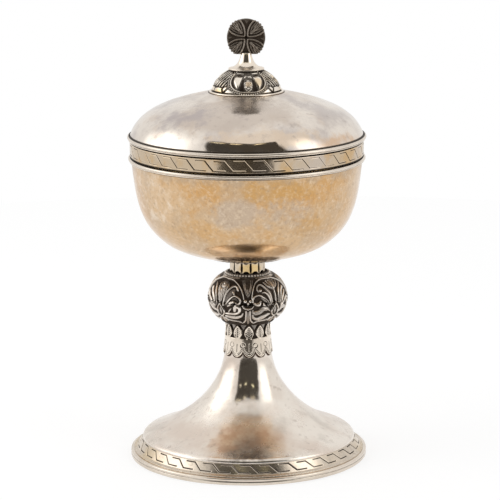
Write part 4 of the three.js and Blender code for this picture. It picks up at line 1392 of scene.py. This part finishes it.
def makeLidBand():
    inner = lidBandRadius - lidBand["wall"]
    start = (lidBandRadius, lidBandBottom + 1.2)
    foot = softened([(inner, lidBandBottom), (lidBandRadius, lidBandBottom), start], 0.35, closed=False)
    skin = np.concatenate([foot[:-1], line([start, (lidBandRadius, lidBandTop)], 0.2)])
    back = line([(lidBandRadius, lidBandTop), (inner, lidBandTop), (inner, lidBandBottom)], 3)

    def carve(run, points, angle):
        up = (points[:, 1] - lidBand["lowLine"]) / (lidBand["highLine"] - lidBand["lowLine"])
        pitch = fullTurn * lidBandRadius / lidBand["repeats"]
        count = lidBand["columns"]
        across = np.arange(count) / count * pitch
        depth = engravedLines(np.tile(across, (len(points), 1)), np.tile(up[:, None], (1, count)), pitch,
                              lidBand["cut"])
        outside = (run == 0) * (points[:, 0] > lidBandRadius - 0.05)
        depth = np.tile(depth * outside[:, None], (1, lidBand["repeats"]))
        press = 0.7 + 0.3 * np.sin(angle * 3 + 2) * np.sin(angle * 11)
        # painted shade in the groove under the lid wire and along the band's foot
        recess = smoothStep(points[:, 1], lidBand["recessFrom"] - 0.1, lidBand["recessFrom"] + 0.15) * outside
        paintedShade = 1 - smoothStep(points[:, 1], lidBand["paintedShadeTop"] - 0.15, lidBand["paintedShadeTop"] + 0.1)
        shade = np.maximum(recess, paintedShade)[:, None]
        lift = -lidBand["depth"] * depth * press - lidBand["recess"] * recess[:, None]
        return lift, 1 - np.clip(np.maximum(depth * press * 1.2, shade), 0, 1)

    part = turnedPart([skin, back], lidBand["columns"] * lidBand["repeats"], carve, turn=lidBand["turn"])
    return addPiece("lidBand", part, "lid", ["lid_band"], "gilt_band", giltSilver)


makeLidBand()


# Lid dome: raised and planished, flat under the boss
dome = {
    "wall": 1.0, "handleA": (0.122, 0.653), "handleB": (0.56, 0.806), "flatRadius": 20.7, "studHole": 2.1,
    "blowSize": 8.5, "blowDepth": 0.06, "columns": 440, "step": 0.8, "paintedShade": 0.9,
}


def makeDome():
    rise = bend(
        (domeRadius, lidWireTop), dome["handleA"], dome["handleB"], (dome["flatRadius"], domeTop), 160,
    )
    skin = evened(np.concatenate([rise, [(dome["studHole"], domeTop)]]), dome["step"])
    skin = np.concatenate([skin[skin[:, 0] > bossWireRadius + 2], evened(
        np.concatenate([rise[rise[:, 0] < bossWireRadius + 1.8], [(bossWireRadius - 1, domeTop)]]), 0.15),
        [(dome["studHole"], domeTop)]])
    seat = line([(domeRadius, domeBottom), (domeRadius, lidWireTop - 0.1)], 1)
    start = evened(rise[: np.argmax(rise[:, 1] > lidWireTop + 1.6)], 0.2)
    skin = np.concatenate([seat, start, skin[skin[:, 1] > start[-1, 1] + 0.3]])
    inside = inset(skin, dome["wall"])
    inside[0, 0] = dome["studHole"]
    inside[:, 1] = np.maximum(inside[:, 1], domeBottom)

    def carve(run, points, angle):
        lift = hammered(points, angle, dome["blowSize"], dome["blowDepth"], 17)
        fade = smoothStep(points[:, 0], 21, 26) * smoothStep(points[:, 1], lidWireTop, lidWireTop + 3)
        fade = fade * (run == 0)
        # painted shade where the dome meets the lid wire, and a painted contact shadow in a ring round the
        # boss wire
        paintedShade = 1 - smoothStep(points[:, 1], lidWireTop + 0.1, lidWireTop + dome["paintedShade"])
        paintedShade = np.maximum(paintedShade, np.clip(1.5 - np.abs(points[:, 0] - bossWireRadius - 0.25) / 0.35, 0, 1))
        return lift * fade[:, None], 1 - (paintedShade * (run == 0))[:, None] * np.ones_like(angle)

    part = turnedPart([skin, inside], dome["columns"], carve)
    return addPiece("lidDome", part, "lid", ["lid_dome"], "silver_hammered", hammeredSilver)


makeDome()


# Boss: a medallion of petals round a rosette in front and behind, with foliage and gilt points between them
boss = {
    "wall": 1.4, "handleA": (0, 0.288), "handleB": (0.171, 0.634), "topRadius": 9.2, "studHole": 2.1,
    "ground": 0.75, "turn": 3.6, "columns": 608, "step": 0.17, "degree": 0.297, "groundShare": 0.36,
    "moat": 0.16,
}
# Strokes run through (degrees from a medallion's middle, height)
bossStrokes = [
    ridge([(0, 205.15), (11, 205.4), (23.5, 206.6), (34, 208.8), (40.2, 211.2), (43, 213.6), (41.5, 215.4),
          (36, 216.5)], [0.55, 0.55, 0.55, 0.55, 0.42], beads=1.3, dip=0.46),
    ridge([(0, 206.35), (15, 206.8), (25, 208.0), (32.5, 209.9), (37, 212), (38.6, 214), (37, 215.4)],
          [0.34, 0.34, 0.3], 0.9),
    ridge([(0, 210.7)], [2.45], 0.72, round=0.2),
    ridge([(0, 210.6)], [0.55], round=0.5),
    ridge([(5.2, 211.5)], [0.75], round=0.5, moat=0),
    ridge([(4.6, 209.3)], [0.75], round=0.5, moat=0),
    ridge([(0, 212.5)], [0.75], round=0.5, moat=0),
    ridge([(0, 208.6)], [0.7], round=0.5, moat=0),
    ridge([(0, 214.3), (5.5, 214.6), (8.5, 213.9)], [0.5, 0.45, 0.3], 0.9),
    ridge([(0, 207.0), (3, 207.7), (5.2, 208.6)], [0.4, 0.34, 0.24], 0.85),
    ridge([(12, 215.75), (21, 215.9), (31, 215.9)], [0.3, 0.3, 0.25], 0.85),
    ridge([(44.5, 209.6), (41.5, 210.6)], [0.45, 0.3], 0.95),
    ridge([(52, 209.0), (48.5, 210.8), (45.4, 212.6)], [0.45, 0.6, 0.3], vein=0.5),
    ridge([(52.5, 212.0), (48.5, 213.8), (46, 215.6)], [0.35, 0.55, 0.3], vein=0.5),
    ridge([(60, 209.0), (56.8, 210.9), (53.2, 212.3)], [0.4, 0.6, 0.3], vein=0.5),
    ridge([(60, 212.2), (56, 214.0), (51.5, 215.9)], [0.4, 0.6, 0.35]),
    ridge([(68.5, 209.0), (65, 210.9), (61, 212.4)], [0.45, 0.62, 0.3], vein=0.5),
    ridge([(68.5, 212.4), (64.5, 214.4), (59, 216.1)], [0.4, 0.6, 0.35]),
    ridge([(77.5, 209.0), (74, 210.9), (70, 212.4)], [0.45, 0.62, 0.3], vein=0.5),
    ridge([(78, 212.6), (74, 214.6), (68, 216.2)], [0.4, 0.6, 0.35]),
    ridge([(86, 209.0), (83, 210.9), (79.5, 212.4)], [0.45, 0.6, 0.3], vein=0.5),
    ridge([(90, 211.0), (90, 215.6)], [0.4, 0.8, 0.4], vein=0.6),
]
petal = [(11.5, 214.5), (14, 212.9), (15.8, 211.3), (16.8, 209.2), (18.6, 208.0), (21.8, 208.6),
         (26.3, 210.5),
         (30.7, 212.3), (32, 213.9), (26, 214.7), (19, 214.6)]
bossPlates = [
    [(20.5, 205.6), (45, 205.6), (36.4, 208.1)],
    [(46.4, 205.8), (48.6, 207.9), (43, 209.3), (38.6, 208.3)],
    [(48, 205.6), (73, 205.6), (70.5, 207.9), (60, 208.5), (51.2, 208.4)],
    [(75, 205.6), (88.8, 205.6), (88.8, 208.0), (80, 208.3), (73.2, 207.9)],
]
# The deepest and darkest of the ground
bossHollows = [
    [(7.4, 214.0), (12.6, 212.6), (14.4, 210.5), (15.6, 208), (15.3, 206.9), (7.3, 206.9),
     (7.4, 209), (8.6, 211),
     (8.4, 212.6)],
    [(20.5, 206.9), (27, 208.2), (31.8, 209.8), (35.4, 211.8), (36.8, 214), (34, 214.8),
     (32.4, 212.4), (27.4, 210.2),
     (22.4, 208.3)],
    [(13, 215.0), (16, 214.6), (26, 214.7), (29.5, 215.1), (22, 215.6)],
]


def plate(flat, corners, edge):  # 1 well inside the outline of corners, falling to 0 at it
    corners = np.array(corners, float) * (boss["degree"], 1)
    inside = np.zeros(flat.shape[:-1], bool)
    away = np.full(flat.shape[:-1], 1e9)
    for a, b in zip(corners, np.roll(corners, -1, axis=0)):
        rising = (a[1] > flat[..., 1]) != (b[1] > flat[..., 1])
        crossing = a[0] + (flat[..., 1] - a[1]) * (b[0] - a[0]) / (b[1] - a[1] + 1e-9)
        inside ^= rising & (flat[..., 0] < crossing)
        away = np.minimum(away, nearness(flat, np.array([a, b]))[0])
    return np.where(inside, np.clip(away / edge, 0, 1), 0.0)


def makeBoss():
    rise = bend((bossRadius, bossBottom), boss["handleA"], boss["handleB"], (boss["topRadius"], bossTop), 200)
    skin = evened(rise, boss["step"])
    levels, radii = skin[:, 1], skin[:, 0]
    top = line([skin[-1], (boss["studHole"], bossTop)], 2)
    hollow = evened(inset(rise, boss["wall"]), 1.5)
    hollow[:, 1] = np.clip(hollow[:, 1], bossBottom, bossTop - boss["wall"])
    back = np.concatenate([[(boss["studHole"], bossTop - boss["wall"])], hollow])

    def onBoss(path):
        return around(np.radians(path[:, 0]), np.interp(path[:, 1], levels, radii), path[:, 1])

    def carve(run, points, angle):
        half = len(angle) // 2
        turn = np.degrees(angle[:half])
        folded = np.where(turn < 90, turn, 180 - turn)
        skinRows = np.flatnonzero(run == 0)
        places = around(np.radians(folded), points[skinRows, :1], points[skinRows, 1:])
        flat = np.stack(np.broadcast_arrays(folded * boss["degree"], points[skinRows, 1:]), axis=-1)
        ground = np.full(flat.shape[:-1], boss["groundShare"])
        for hollow in bossHollows:
            ground *= 1 - plate(flat, hollow, 0.3)
        ground *= 1 - 0.9 * smoothStep(flat[..., 0], 40 * boss["degree"], 46 * boss["degree"])
        height = np.maximum(carved(places, bossStrokes, onBoss, boss["moat"]), ground)
        height = np.maximum(height, plate(flat, petal, 0.8) ** 0.5)
        for corners in bossPlates:
            height = np.maximum(height, plate(flat, corners, 0.35))
        full = np.zeros((len(points), half))
        full[skinRows] = height
        full = np.tile(full, (1, 2))
        random = np.random.default_rng(13)
        matting = random.uniform(-1, 0, full.shape) * 0.06 * (1 - smoothStep(full, 0.1, 0.4))
        lift = (full - 1) * boss["ground"] * smoothStep(points[:, 1], bossBottom, bossBottom + 0.25)[:, None]
        return (lift + matting) * (run == 0)[:, None], np.clip(full, 0, 1)

    part = turnedPart([skin, top, back], boss["columns"], carve, turn=boss["turn"])
    return addPiece("bossDome", part, "lid", ["boss"], "silver_oxidised", chasedSilver)


makeBoss()


# Bright wire round the foot of the boss
bossWire = {"width": 1.2, "columns": 240}


def makeBossWire():
    inner = bossWireRadius - bossWire["width"]
    tall = bossWireTop - bossWireBottom
    turn = np.linspace(0, math.pi * 0.75, 12)
    back = np.stack([
        bossWireRadius - tall * 0.62 * (1 - np.cos(turn)),
        bossWireBottom + tall * 0.38 + tall * 0.62 * np.sin(turn),
    ], axis=1)
    outline = np.concatenate([
        [(inner, bossWireBottom), (bossWireRadius - 0.2, bossWireBottom)], back,
        [(inner, bossWireBottom + tall * 0.6)],
    ])
    part = turnedPart([outline], bossWire["columns"])
    return addPiece("bossWire", part, "lid", ["boss_wire"], "silver_polished", polishedSilver)


makeBossWire()
print("lid ready")


# Finial neck: a polished trumpet on a thin flange
finialNeck = {
    "bore": 2.1, "boreTop": 221.35, "flange": 0.7, "bevel": 0.2,
    "handleA": (0.43, 0.05), "handleB": (0.87, 0.25),
    "topRadius": 2.85, "columns": 160,
}


def makeFinialNeck():
    top = flangeBottom + finialNeck["flange"]
    edge = flangeRadius - finialNeck["bevel"]
    rise = evened(bend((edge, top), finialNeck["handleA"], finialNeck["handleB"],
                       (finialNeck["topRadius"], finialNeckTop), 120), 0.25)
    rim = softened([(edge - 1, flangeBottom), (flangeRadius, flangeBottom), (flangeRadius, top), (edge, top)],
                   0.25, closed=False)
    outline = np.concatenate([
        line([(0, finialNeck["boreTop"]), (finialNeck["bore"], finialNeck["boreTop"]),
              (finialNeck["bore"], flangeBottom)], 1.5), rim, rise[1:],
        [(finialNeck["topRadius"] - 0.2, finialNeckTop), (0, finialNeckTop)],
    ])
    part = turnedPart([outline], finialNeck["columns"])
    return addPiece("finialNeck", part, "lid", ["finial_neck"], "silver_polished", polishedSilver)


makeFinialNeck()


# Cross disc: carved alike on both faces
crossDisc = {
    "radius": 10.5, "tipRadius": 11.2, "teeth": 5, "toothSpan": 24, "half": 1.5, "ground": 0.75, "turn": -2.5,
    "columns": 560, "rings": 62, "rimSteps": 7, "notchHeight": 9.0, "edge": 0.35,
}
# Strokes run through (along an arm, across it): 0 across is its middle, and a leaf lies on the diagonal
discStrokes = [
    ridge([(1.0, 1.0), (1.4, 0.72), (3.6, 0.88), (5.4, 1.3), (7.4, 2.2), (9.0, 3.4), (9.9, 4.5)], [0.4, 0.5,
          0.5, 0.52, 0.5, 0.48, 0.4], round=0.45),
    ridge([(3.4, 3.4), (4.3, 4.3), (7.7, 7.7)], [0.7, 1.0, 0.8, 0.8], 0.95, vein=0.6),
    ridge([(2.7, 2.7)], [0.9], 0.85, round=0.5),
    ridge([(4.2, 4.2), (6.0, 4.6), (8.2, 5.9), (8.9, 6.6)], [0.35, 0.55, 0.55, 0.3], 0.75),
    ridge([(3.2, 2.3), (5.6, 3.0), (8.0, 4.5), (9.3, 5.6)], [0.3, 0.55, 0.6, 0.35], 0.62, hatch=1.0),
    ridge([(8.3, 0), (9.4, 0)], [0.5, 1.6], 0.55, round=0.7),
    ridge([(7.9, 7.9), (8.3, 7.3)], [0.3, 0.25], 0.9),
]


def makeCrossDisc():
    columns, rings = crossDisc["columns"], crossDisc["rings"]
    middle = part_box("cross_disc")[0].z / mm + crossDisc["notchHeight"]
    angle = np.arange(columns) * fullTurn / columns
    degrees = np.degrees(angle)
    fromDiagonal = ((degrees % 90) - 45) / crossDisc["toothSpan"]
    tooth = 0.5 + 0.5 * np.cos(fromDiagonal * crossDisc["teeth"] * math.pi)
    swell = np.clip(1 - fromDiagonal**2, 0, 1)
    reach = (crossDisc["tipRadius"] - crossDisc["radius"]) * swell * (0.25 + 0.75 * tooth)
    reach = crossDisc["radius"] + reach
    spun = angle + math.radians(crossDisc["turn"])
    down = -np.sin(spun)
    reach = np.where(down > 0.5, np.minimum(reach, crossDisc["notchHeight"] / np.maximum(down, 0.5)), reach)
    share = np.linspace(0, 1, rings) ** 0.85
    out = share[:, None] * (reach - crossDisc["edge"])
    folded = degrees % 90
    folded = np.radians(np.where(folded < 45, folded, 90 - folded))
    places = np.stack([out * np.cos(folded), out * np.sin(folded)], axis=-1)
    height = carved(places, discStrokes, lambda path: path)
    height = np.maximum(height, 0.5 * smoothStep(out, reach - 1.0, reach - 0.6))
    random = np.random.default_rng(19)
    height[0] = height[0].mean()
    matting = random.uniform(-1, 0, height.shape) * 0.05 * (1 - smoothStep(height, 0.1, 0.4))
    matting[0] = 0
    thick = crossDisc["half"] + (height - 1) * crossDisc["ground"] + matting
    rim = np.linspace(0, math.pi, crossDisc["rimSteps"] + 2)[1:-1, None]
    rimOut = reach - crossDisc["edge"] * (1 - np.sin(rim))
    rimThick = (thick[-1] - 0.15) * np.cos(rim)
    radius = np.concatenate([out, rimOut, out[::-1]])
    depth = np.concatenate([thick, rimThick, -thick[::-1]])
    places = np.stack([
        radius * np.cos(spun), -depth + 0 * spun, middle + radius * np.sin(spun),
    ], axis=-1)
    reliefAndShade = np.concatenate([height, np.full(rimOut.shape, 0.45), height[::-1]])
    part = gridPart(places[::-1], reliefAndShade[::-1], False)
    return addPiece("crossDisc", part, "lid", ["cross_disc"], "silver_oxidised", darkDisc)


makeCrossDisc()
print("finial ready")


# Hidden hardware: rods with threaded ends, chamfered nuts and washers
hardware = {
    "threadDepth": 0.3, "pitch": 0.8, "chamfer": 0.3, "columns": 72, "washerColumns": 120, "nutColumns": 144,
}


def threadedRod(name, node, body, radius, threadTop, extra):
    low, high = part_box(node)
    bottom, top = low.z / mm, high.z / mm
    chamfer = hardware["chamfer"]
    skin = np.concatenate([
        [(0, bottom), (radius - chamfer, bottom)],
        line([(radius, bottom + chamfer), (radius, threadTop)], 0.1), line(extra or [(radius, top)], 2),
    ])
    skin = np.concatenate([skin, [(0, top)]])

    def carve(run, points, angle):
        zone = (points[:, 0] > radius - 0.01) * (points[:, 1] < threadTop - 0.2)
        wave = np.abs(((points[:, 1:] / hardware["pitch"] - angle / fullTurn) % 1) - 0.5) * 2
        cut = wave * zone[:, None]
        return -hardware["threadDepth"] * cut, 1 - 0.5 * cut

    part = turnedPart([skin], hardware["columns"], carve)
    return addPiece(name, part, body, [node], "plain_steel", plainSteel)


tieRod = {"radius": 2.5, "threadTop": 54.0, "head": 1.5, "headRadius": 7.6, "spigot": 4.6}
threadedRod("tieRod", "tie_rod", "base", tieRod["radius"], tieRod["threadTop"], [
    (tieRod["radius"], calyxBottom - tieRod["head"]), (tieRod["headRadius"], calyxBottom - tieRod["head"]),
    (tieRod["headRadius"], calyxBottom), (tieRod["spigot"], calyxBottom), (tieRod["spigot"], bowlBottom),
])
finialStud = {"radius": 1.8, "threadTop": 206.0}
threadedRod("finialStud", "finial_stud", "lid", finialStud["radius"], finialStud["threadTop"], None)


def washer(name, node, body, hole):
    outer, bottom, top = spanOf(node)
    outline = softened([(hole, bottom), (outer, bottom), (outer, top), (hole, top)], hardware["chamfer"])
    part = turnedPart([line(outline, 1)], hardware["washerColumns"])
    return addPiece(name, part, body, [node], "plain_steel", plainSteel)


def hexNut(name, node, body, size, hole):
    corner, bottom, top = spanOf(node)
    columns = hardware["nutColumns"]
    chamfer = (corner - size / 2) * 0.6
    outline = np.concatenate([
        [(hole, bottom), (size / 2 - 0.1, bottom)],
        line([(corner, bottom + chamfer), (corner, top - chamfer)], 0.6),
        [(size / 2 - 0.1, top), (hole, top)],
    ])

    def carve(run, points, angle):
        flat = size / 2 / np.cos((angle + math.pi / 6) % (math.pi / 3) - math.pi / 6)
        lift = np.minimum(flat - points[:, :1], 0) * (points[:, :1] > hole + 0.01)
        return lift, np.ones((len(points), columns))

    part = turnedPart([outline], columns, carve, turn=30)
    return addPiece(name, part, body, [node], "plain_steel", plainSteel)


footFixing = {"hole": 2.8, "nutSize": 10.0}
washer("footWasher", "foot_washer", "base", footFixing["hole"])
hexNut("footNut", "foot_nut", "base", footFixing["nutSize"], footFixing["hole"])
lidFixing = {"hole": 2.1, "nutSize": 7.0}
washer("lidWasher", "lid_washer", "lid", lidFixing["hole"])
hexNut("lidNut", "lid_nut", "lid", lidFixing["nutSize"], lidFixing["hole"])

# The spacer inside the knop keeps its CAD mesh
spacer = frame["nodes"]["knop_spacer"]
spacer.data.materials.clear()
spacer.data.materials.append(plainSteel)
print("hardware ready")


# Studio: a white tent with a dark opening towards the camera, soft boxes and a pale floor
studio = {
    "tent": (0.89, 0.88, 0.865), "tentTop": (0.96, 0.955, 0.945), "ambient": 0.8,
    "floorRadius": 0.78, "floorGlow": 0.68, "floorMatte": 0.36, "floorColor": 0.88, "middleHeight": 0.15,
    "floorColumns": 96, "sheetSide": 25,
}
# What is seen in reflections: rows of elevation, left and right in degrees, seen from the cup
reflections = [
    {"name": "tentOpening", "color": (0.072, 0.066, 0.057), "distance": 1.25, "soft": 0.03,
     "rows": [(-16, -30, 28), (-9, -30, 28), (-6.6, -23, 20), (-4.4, -34, 38), (-1, -40, 43), (16, -43, 46),
              (33, -46, 44), (44, -50, 44), (52, -52, 42), (56.3, -50, 38)]},
    {"name": "leftSheet", "color": (2.2, 2.19, 2.15), "distance": 1.24, "soft": 0.4,
     "rows": [(-4, -126, -48), (14, -130, -48), (36, -132, -52), (57, -126, -54)]},
    {"name": "rightSheet", "color": (2.2, 2.18, 2.1), "distance": 1.24, "soft": 0.4,
     "rows": [(-4, 45, 88), (18, 44, 90), (38, 44, 90), (57, 46, 86)]},
    {"name": "leftStreak", "color": (1.5, 1.35, 0.95), "distance": 1.2, "soft": 0.3,
     "rows": [(51.6, -50, -28), (54.0, -50, -28)]},
    {"name": "middleStreak", "color": (1.5, 1.35, 0.95), "distance": 1.2, "soft": 0.3,
     "rows": [(51.6, -24, -5), (54.0, -24, -5)]},
    {"name": "rightStreak", "color": (1.5, 1.35, 0.95), "distance": 1.2, "soft": 0.3,
     "rows": [(51.6, 7, 25), (54.0, 7, 25)]},
    {"name": "leftGlint", "color": (1.4, 1.35, 1.1), "distance": 0.32, "soft": 0.4,
     "rows": [(21.6, -38, -27), (26.6, -36, -27)]},
    {"name": "middleGlint", "color": (2.0, 1.9, 1.3), "distance": 0.32, "soft": 0.4,
     "rows": [(21.6, -14, 1), (25.6, -21, -8)]},
    {"name": "rightGlint", "color": (1.8, 1.7, 1.1), "distance": 0.32, "soft": 0.4,
     "rows": [(21.8, 12, 20), (26.6, 17, 27)]},
]
softBoxes = [
    {"name": "leftSoftBox", "azimuth": -80, "elevation": 34, "distance": 0.95, "size": 0.6, "radiance": 1.6},
    {"name": "rightSoftBox", "azimuth": 60, "elevation": 34, "distance": 0.95, "size": 0.4, "radiance": 1.6},
]


def makeWorld():
    world = bpy.data.worlds.new("whiteTent")
    world.use_nodes = True
    tree = world.node_tree
    tree.nodes.clear()
    path = put(tree, "LightPath")
    up = put(tree, "SeparateXYZ", {"Vector": put(tree, "TexCoord").outputs["Generated"]}).outputs["Z"]
    share = put(tree, "MapRange", {"Value": up, "From Min": 0.0, "From Max": 0.9}).outputs["Result"]
    tent = put(tree, "Background", {"Color": mixed(tree, share, studio["tent"], studio["tentTop"])})
    seen = put(tree, "Background", {"Color": (1, 1, 1, 1)})
    soft = put(tree, "Background", {"Color": (1, 1, 1, 1), "Strength": studio["ambient"]})
    lit = put(tree, "MixShader", {0: path.outputs["Is Diffuse Ray"], 1: tent.outputs[0], 2: soft.outputs[0]})
    shown = put(tree, "MixShader", {0: path.outputs["Is Camera Ray"], 1: lit.outputs[0], 2: seen.outputs[0]})
    output = put(tree, "OutputWorld")
    tree.links.new(shown.outputs[0], output.inputs["Surface"])
    bpy.context.scene.world = world


def makeFloor():
    rings = [(0, floorLevel - 0.02), (studio["floorRadius"] / mm, floorLevel - 0.02)]
    columns = studio["floorColumns"]
    angle = np.arange(columns) * fullTurn / columns
    places = around(angle, np.array([[r] for r, z in rings]), np.array([[z] for r, z in rings]))
    floor = bpy.data.objects.new("floor", buildMesh("floor", [gridPart(places[::-1], 1.0, False)]))
    bpy.context.scene.collection.objects.link(floor)
    material = bpy.data.materials.new("paleFloor")
    material.use_nodes = True
    tree = material.node_tree
    tree.nodes.clear()
    path = put(tree, "LightPath")
    color, faintColor = studio["floorColor"], studio["floorMatte"]
    matte = put(tree, "BsdfDiffuse", {"Color": (color, color, color, 1)})
    faint = put(tree, "BsdfDiffuse", {"Color": (faintColor, faintColor, faintColor, 1)})
    glow = put(tree, "Emission", {"Color": (1, 1, 1, 1), "Strength": studio["floorGlow"]})
    both = put(tree, "AddShader", {0: faint.outputs[0], 1: glow.outputs[0]})
    seen = path.outputs["Is Camera Ray"]
    for kind in ("Is Glossy Ray", "Is Transmission Ray"):
        seen = put(tree, "Math", {0: seen, 1: path.outputs[kind]}, operation="MAXIMUM").outputs["Value"]
    mix = put(tree, "MixShader", {0: seen, 1: matte.outputs[0], 2: both.outputs[0]})
    output = put(tree, "OutputMaterial")
    tree.links.new(mix.outputs[0], output.inputs["Surface"])
    floor.data.materials.append(material)


def skyPlace(azimuth, elevation, distance):  # metres; azimuth 0 is the front and grows to the right
    azimuth, elevation = math.radians(azimuth), math.radians(elevation)
    flat = distance * math.cos(elevation)
    return (flat * math.sin(azimuth), -flat * math.cos(azimuth),
            studio["middleHeight"] + distance * math.sin(elevation))


def makeReflection(look):  # a sheet with soft edges that only reflections see
    table = np.array(look["rows"], float)
    side = studio["sheetSide"]  # points along each side
    share = np.linspace(0, 1, side)
    spots, cover = [], []
    for up in share:
        at = up * (len(table) - 1)
        elevation, left, right = (np.interp(at, np.arange(len(table)), column) for column in table.T)
        for across in share:
            spots.append(skyPlace(left + (right - left) * across, elevation, look["distance"]))
            edge = np.array([min(across, 1 - across), min(up, 1 - up)])
            cover.append(float(smoothStep(edge, 0, look["soft"]).prod()))
    firsts = [a for a in range(side * (side - 1)) if a % side < side - 1]
    faces = [(a, a + 1, a + side + 1, a + side) for a in firsts]
    mesh = bpy.data.meshes.new(look["name"])
    mesh.from_pydata(spots, [], faces)
    mesh.attributes.new("cover", "FLOAT", "POINT").data.foreach_set("value", cover)
    sheet = bpy.data.objects.new(look["name"], mesh)
    bpy.context.scene.collection.objects.link(sheet)
    material = bpy.data.materials.new(look["name"])
    material.use_nodes = True
    tree = material.node_tree
    tree.nodes.clear()
    mask = put(tree, "Attribute", attribute_type="GEOMETRY", attribute_name="cover").outputs["Fac"]
    clear = put(tree, "BsdfTransparent")
    glow = put(tree, "Emission", {"Color": (*look["color"], 1)})
    mix = put(tree, "MixShader", {0: mask, 1: clear.outputs[0], 2: glow.outputs[0]})
    tree.links.new(mix.outputs[0], put(tree, "OutputMaterial").inputs["Surface"])
    mesh.materials.append(material)
    sheet.visible_camera = sheet.visible_diffuse = sheet.visible_shadow = False


def makeLights():
    for box in softBoxes:
        light = bpy.data.lights.new(box["name"], "AREA")
        light.size = box["size"]
        light.energy = box["radiance"] * (math.pi * box["size"]) ** 2 / math.pi
        lamp = bpy.data.objects.new(box["name"], light)
        place = skyPlace(box["azimuth"], box["elevation"], box["distance"])
        bpy.context.scene.collection.objects.link(lamp)
        lamp.location = place
        lamp.rotation_mode = "QUATERNION"
        away = Vector(place) - Vector((0, 0, studio["middleHeight"]))
        lamp.rotation_quaternion = away.to_track_quat("Z", "Y")
        lamp.visible_camera = lamp.visible_glossy = False


makeWorld()
makeFloor()
for look in reflections:
    makeReflection(look)
makeLights()
print("studio ready")


# Camera: where the photograph was taken from, worked out from the rims' ellipses
camera = {
    "lens": 187.2, "sensor": 36, "near": 0.05, "far": 20,
    "place": (1.43, -1408.46, 411.22), "pitchDown": 11.844, "roll": 0.344,
}


def makeCamera():
    data = bpy.data.cameras.new("camera")
    data.sensor_width = camera["sensor"]
    data.lens = camera["lens"]
    data.clip_start, data.clip_end = camera["near"], camera["far"]
    seat = bpy.data.objects.new("camera", data)
    bpy.context.scene.collection.objects.link(seat)
    tilt = Matrix.Rotation(math.radians(90 - camera["pitchDown"]), 4, "X")
    roll = Matrix.Rotation(math.radians(-camera["roll"]), 4, "Z")
    place = Matrix.Translation([value * mm for value in camera["place"]])
    seat.matrix_world = place @ tilt @ roll
    bpy.context.scene.camera = seat


makeCamera()
bpy.context.scene.view_settings.view_transform = "Standard"
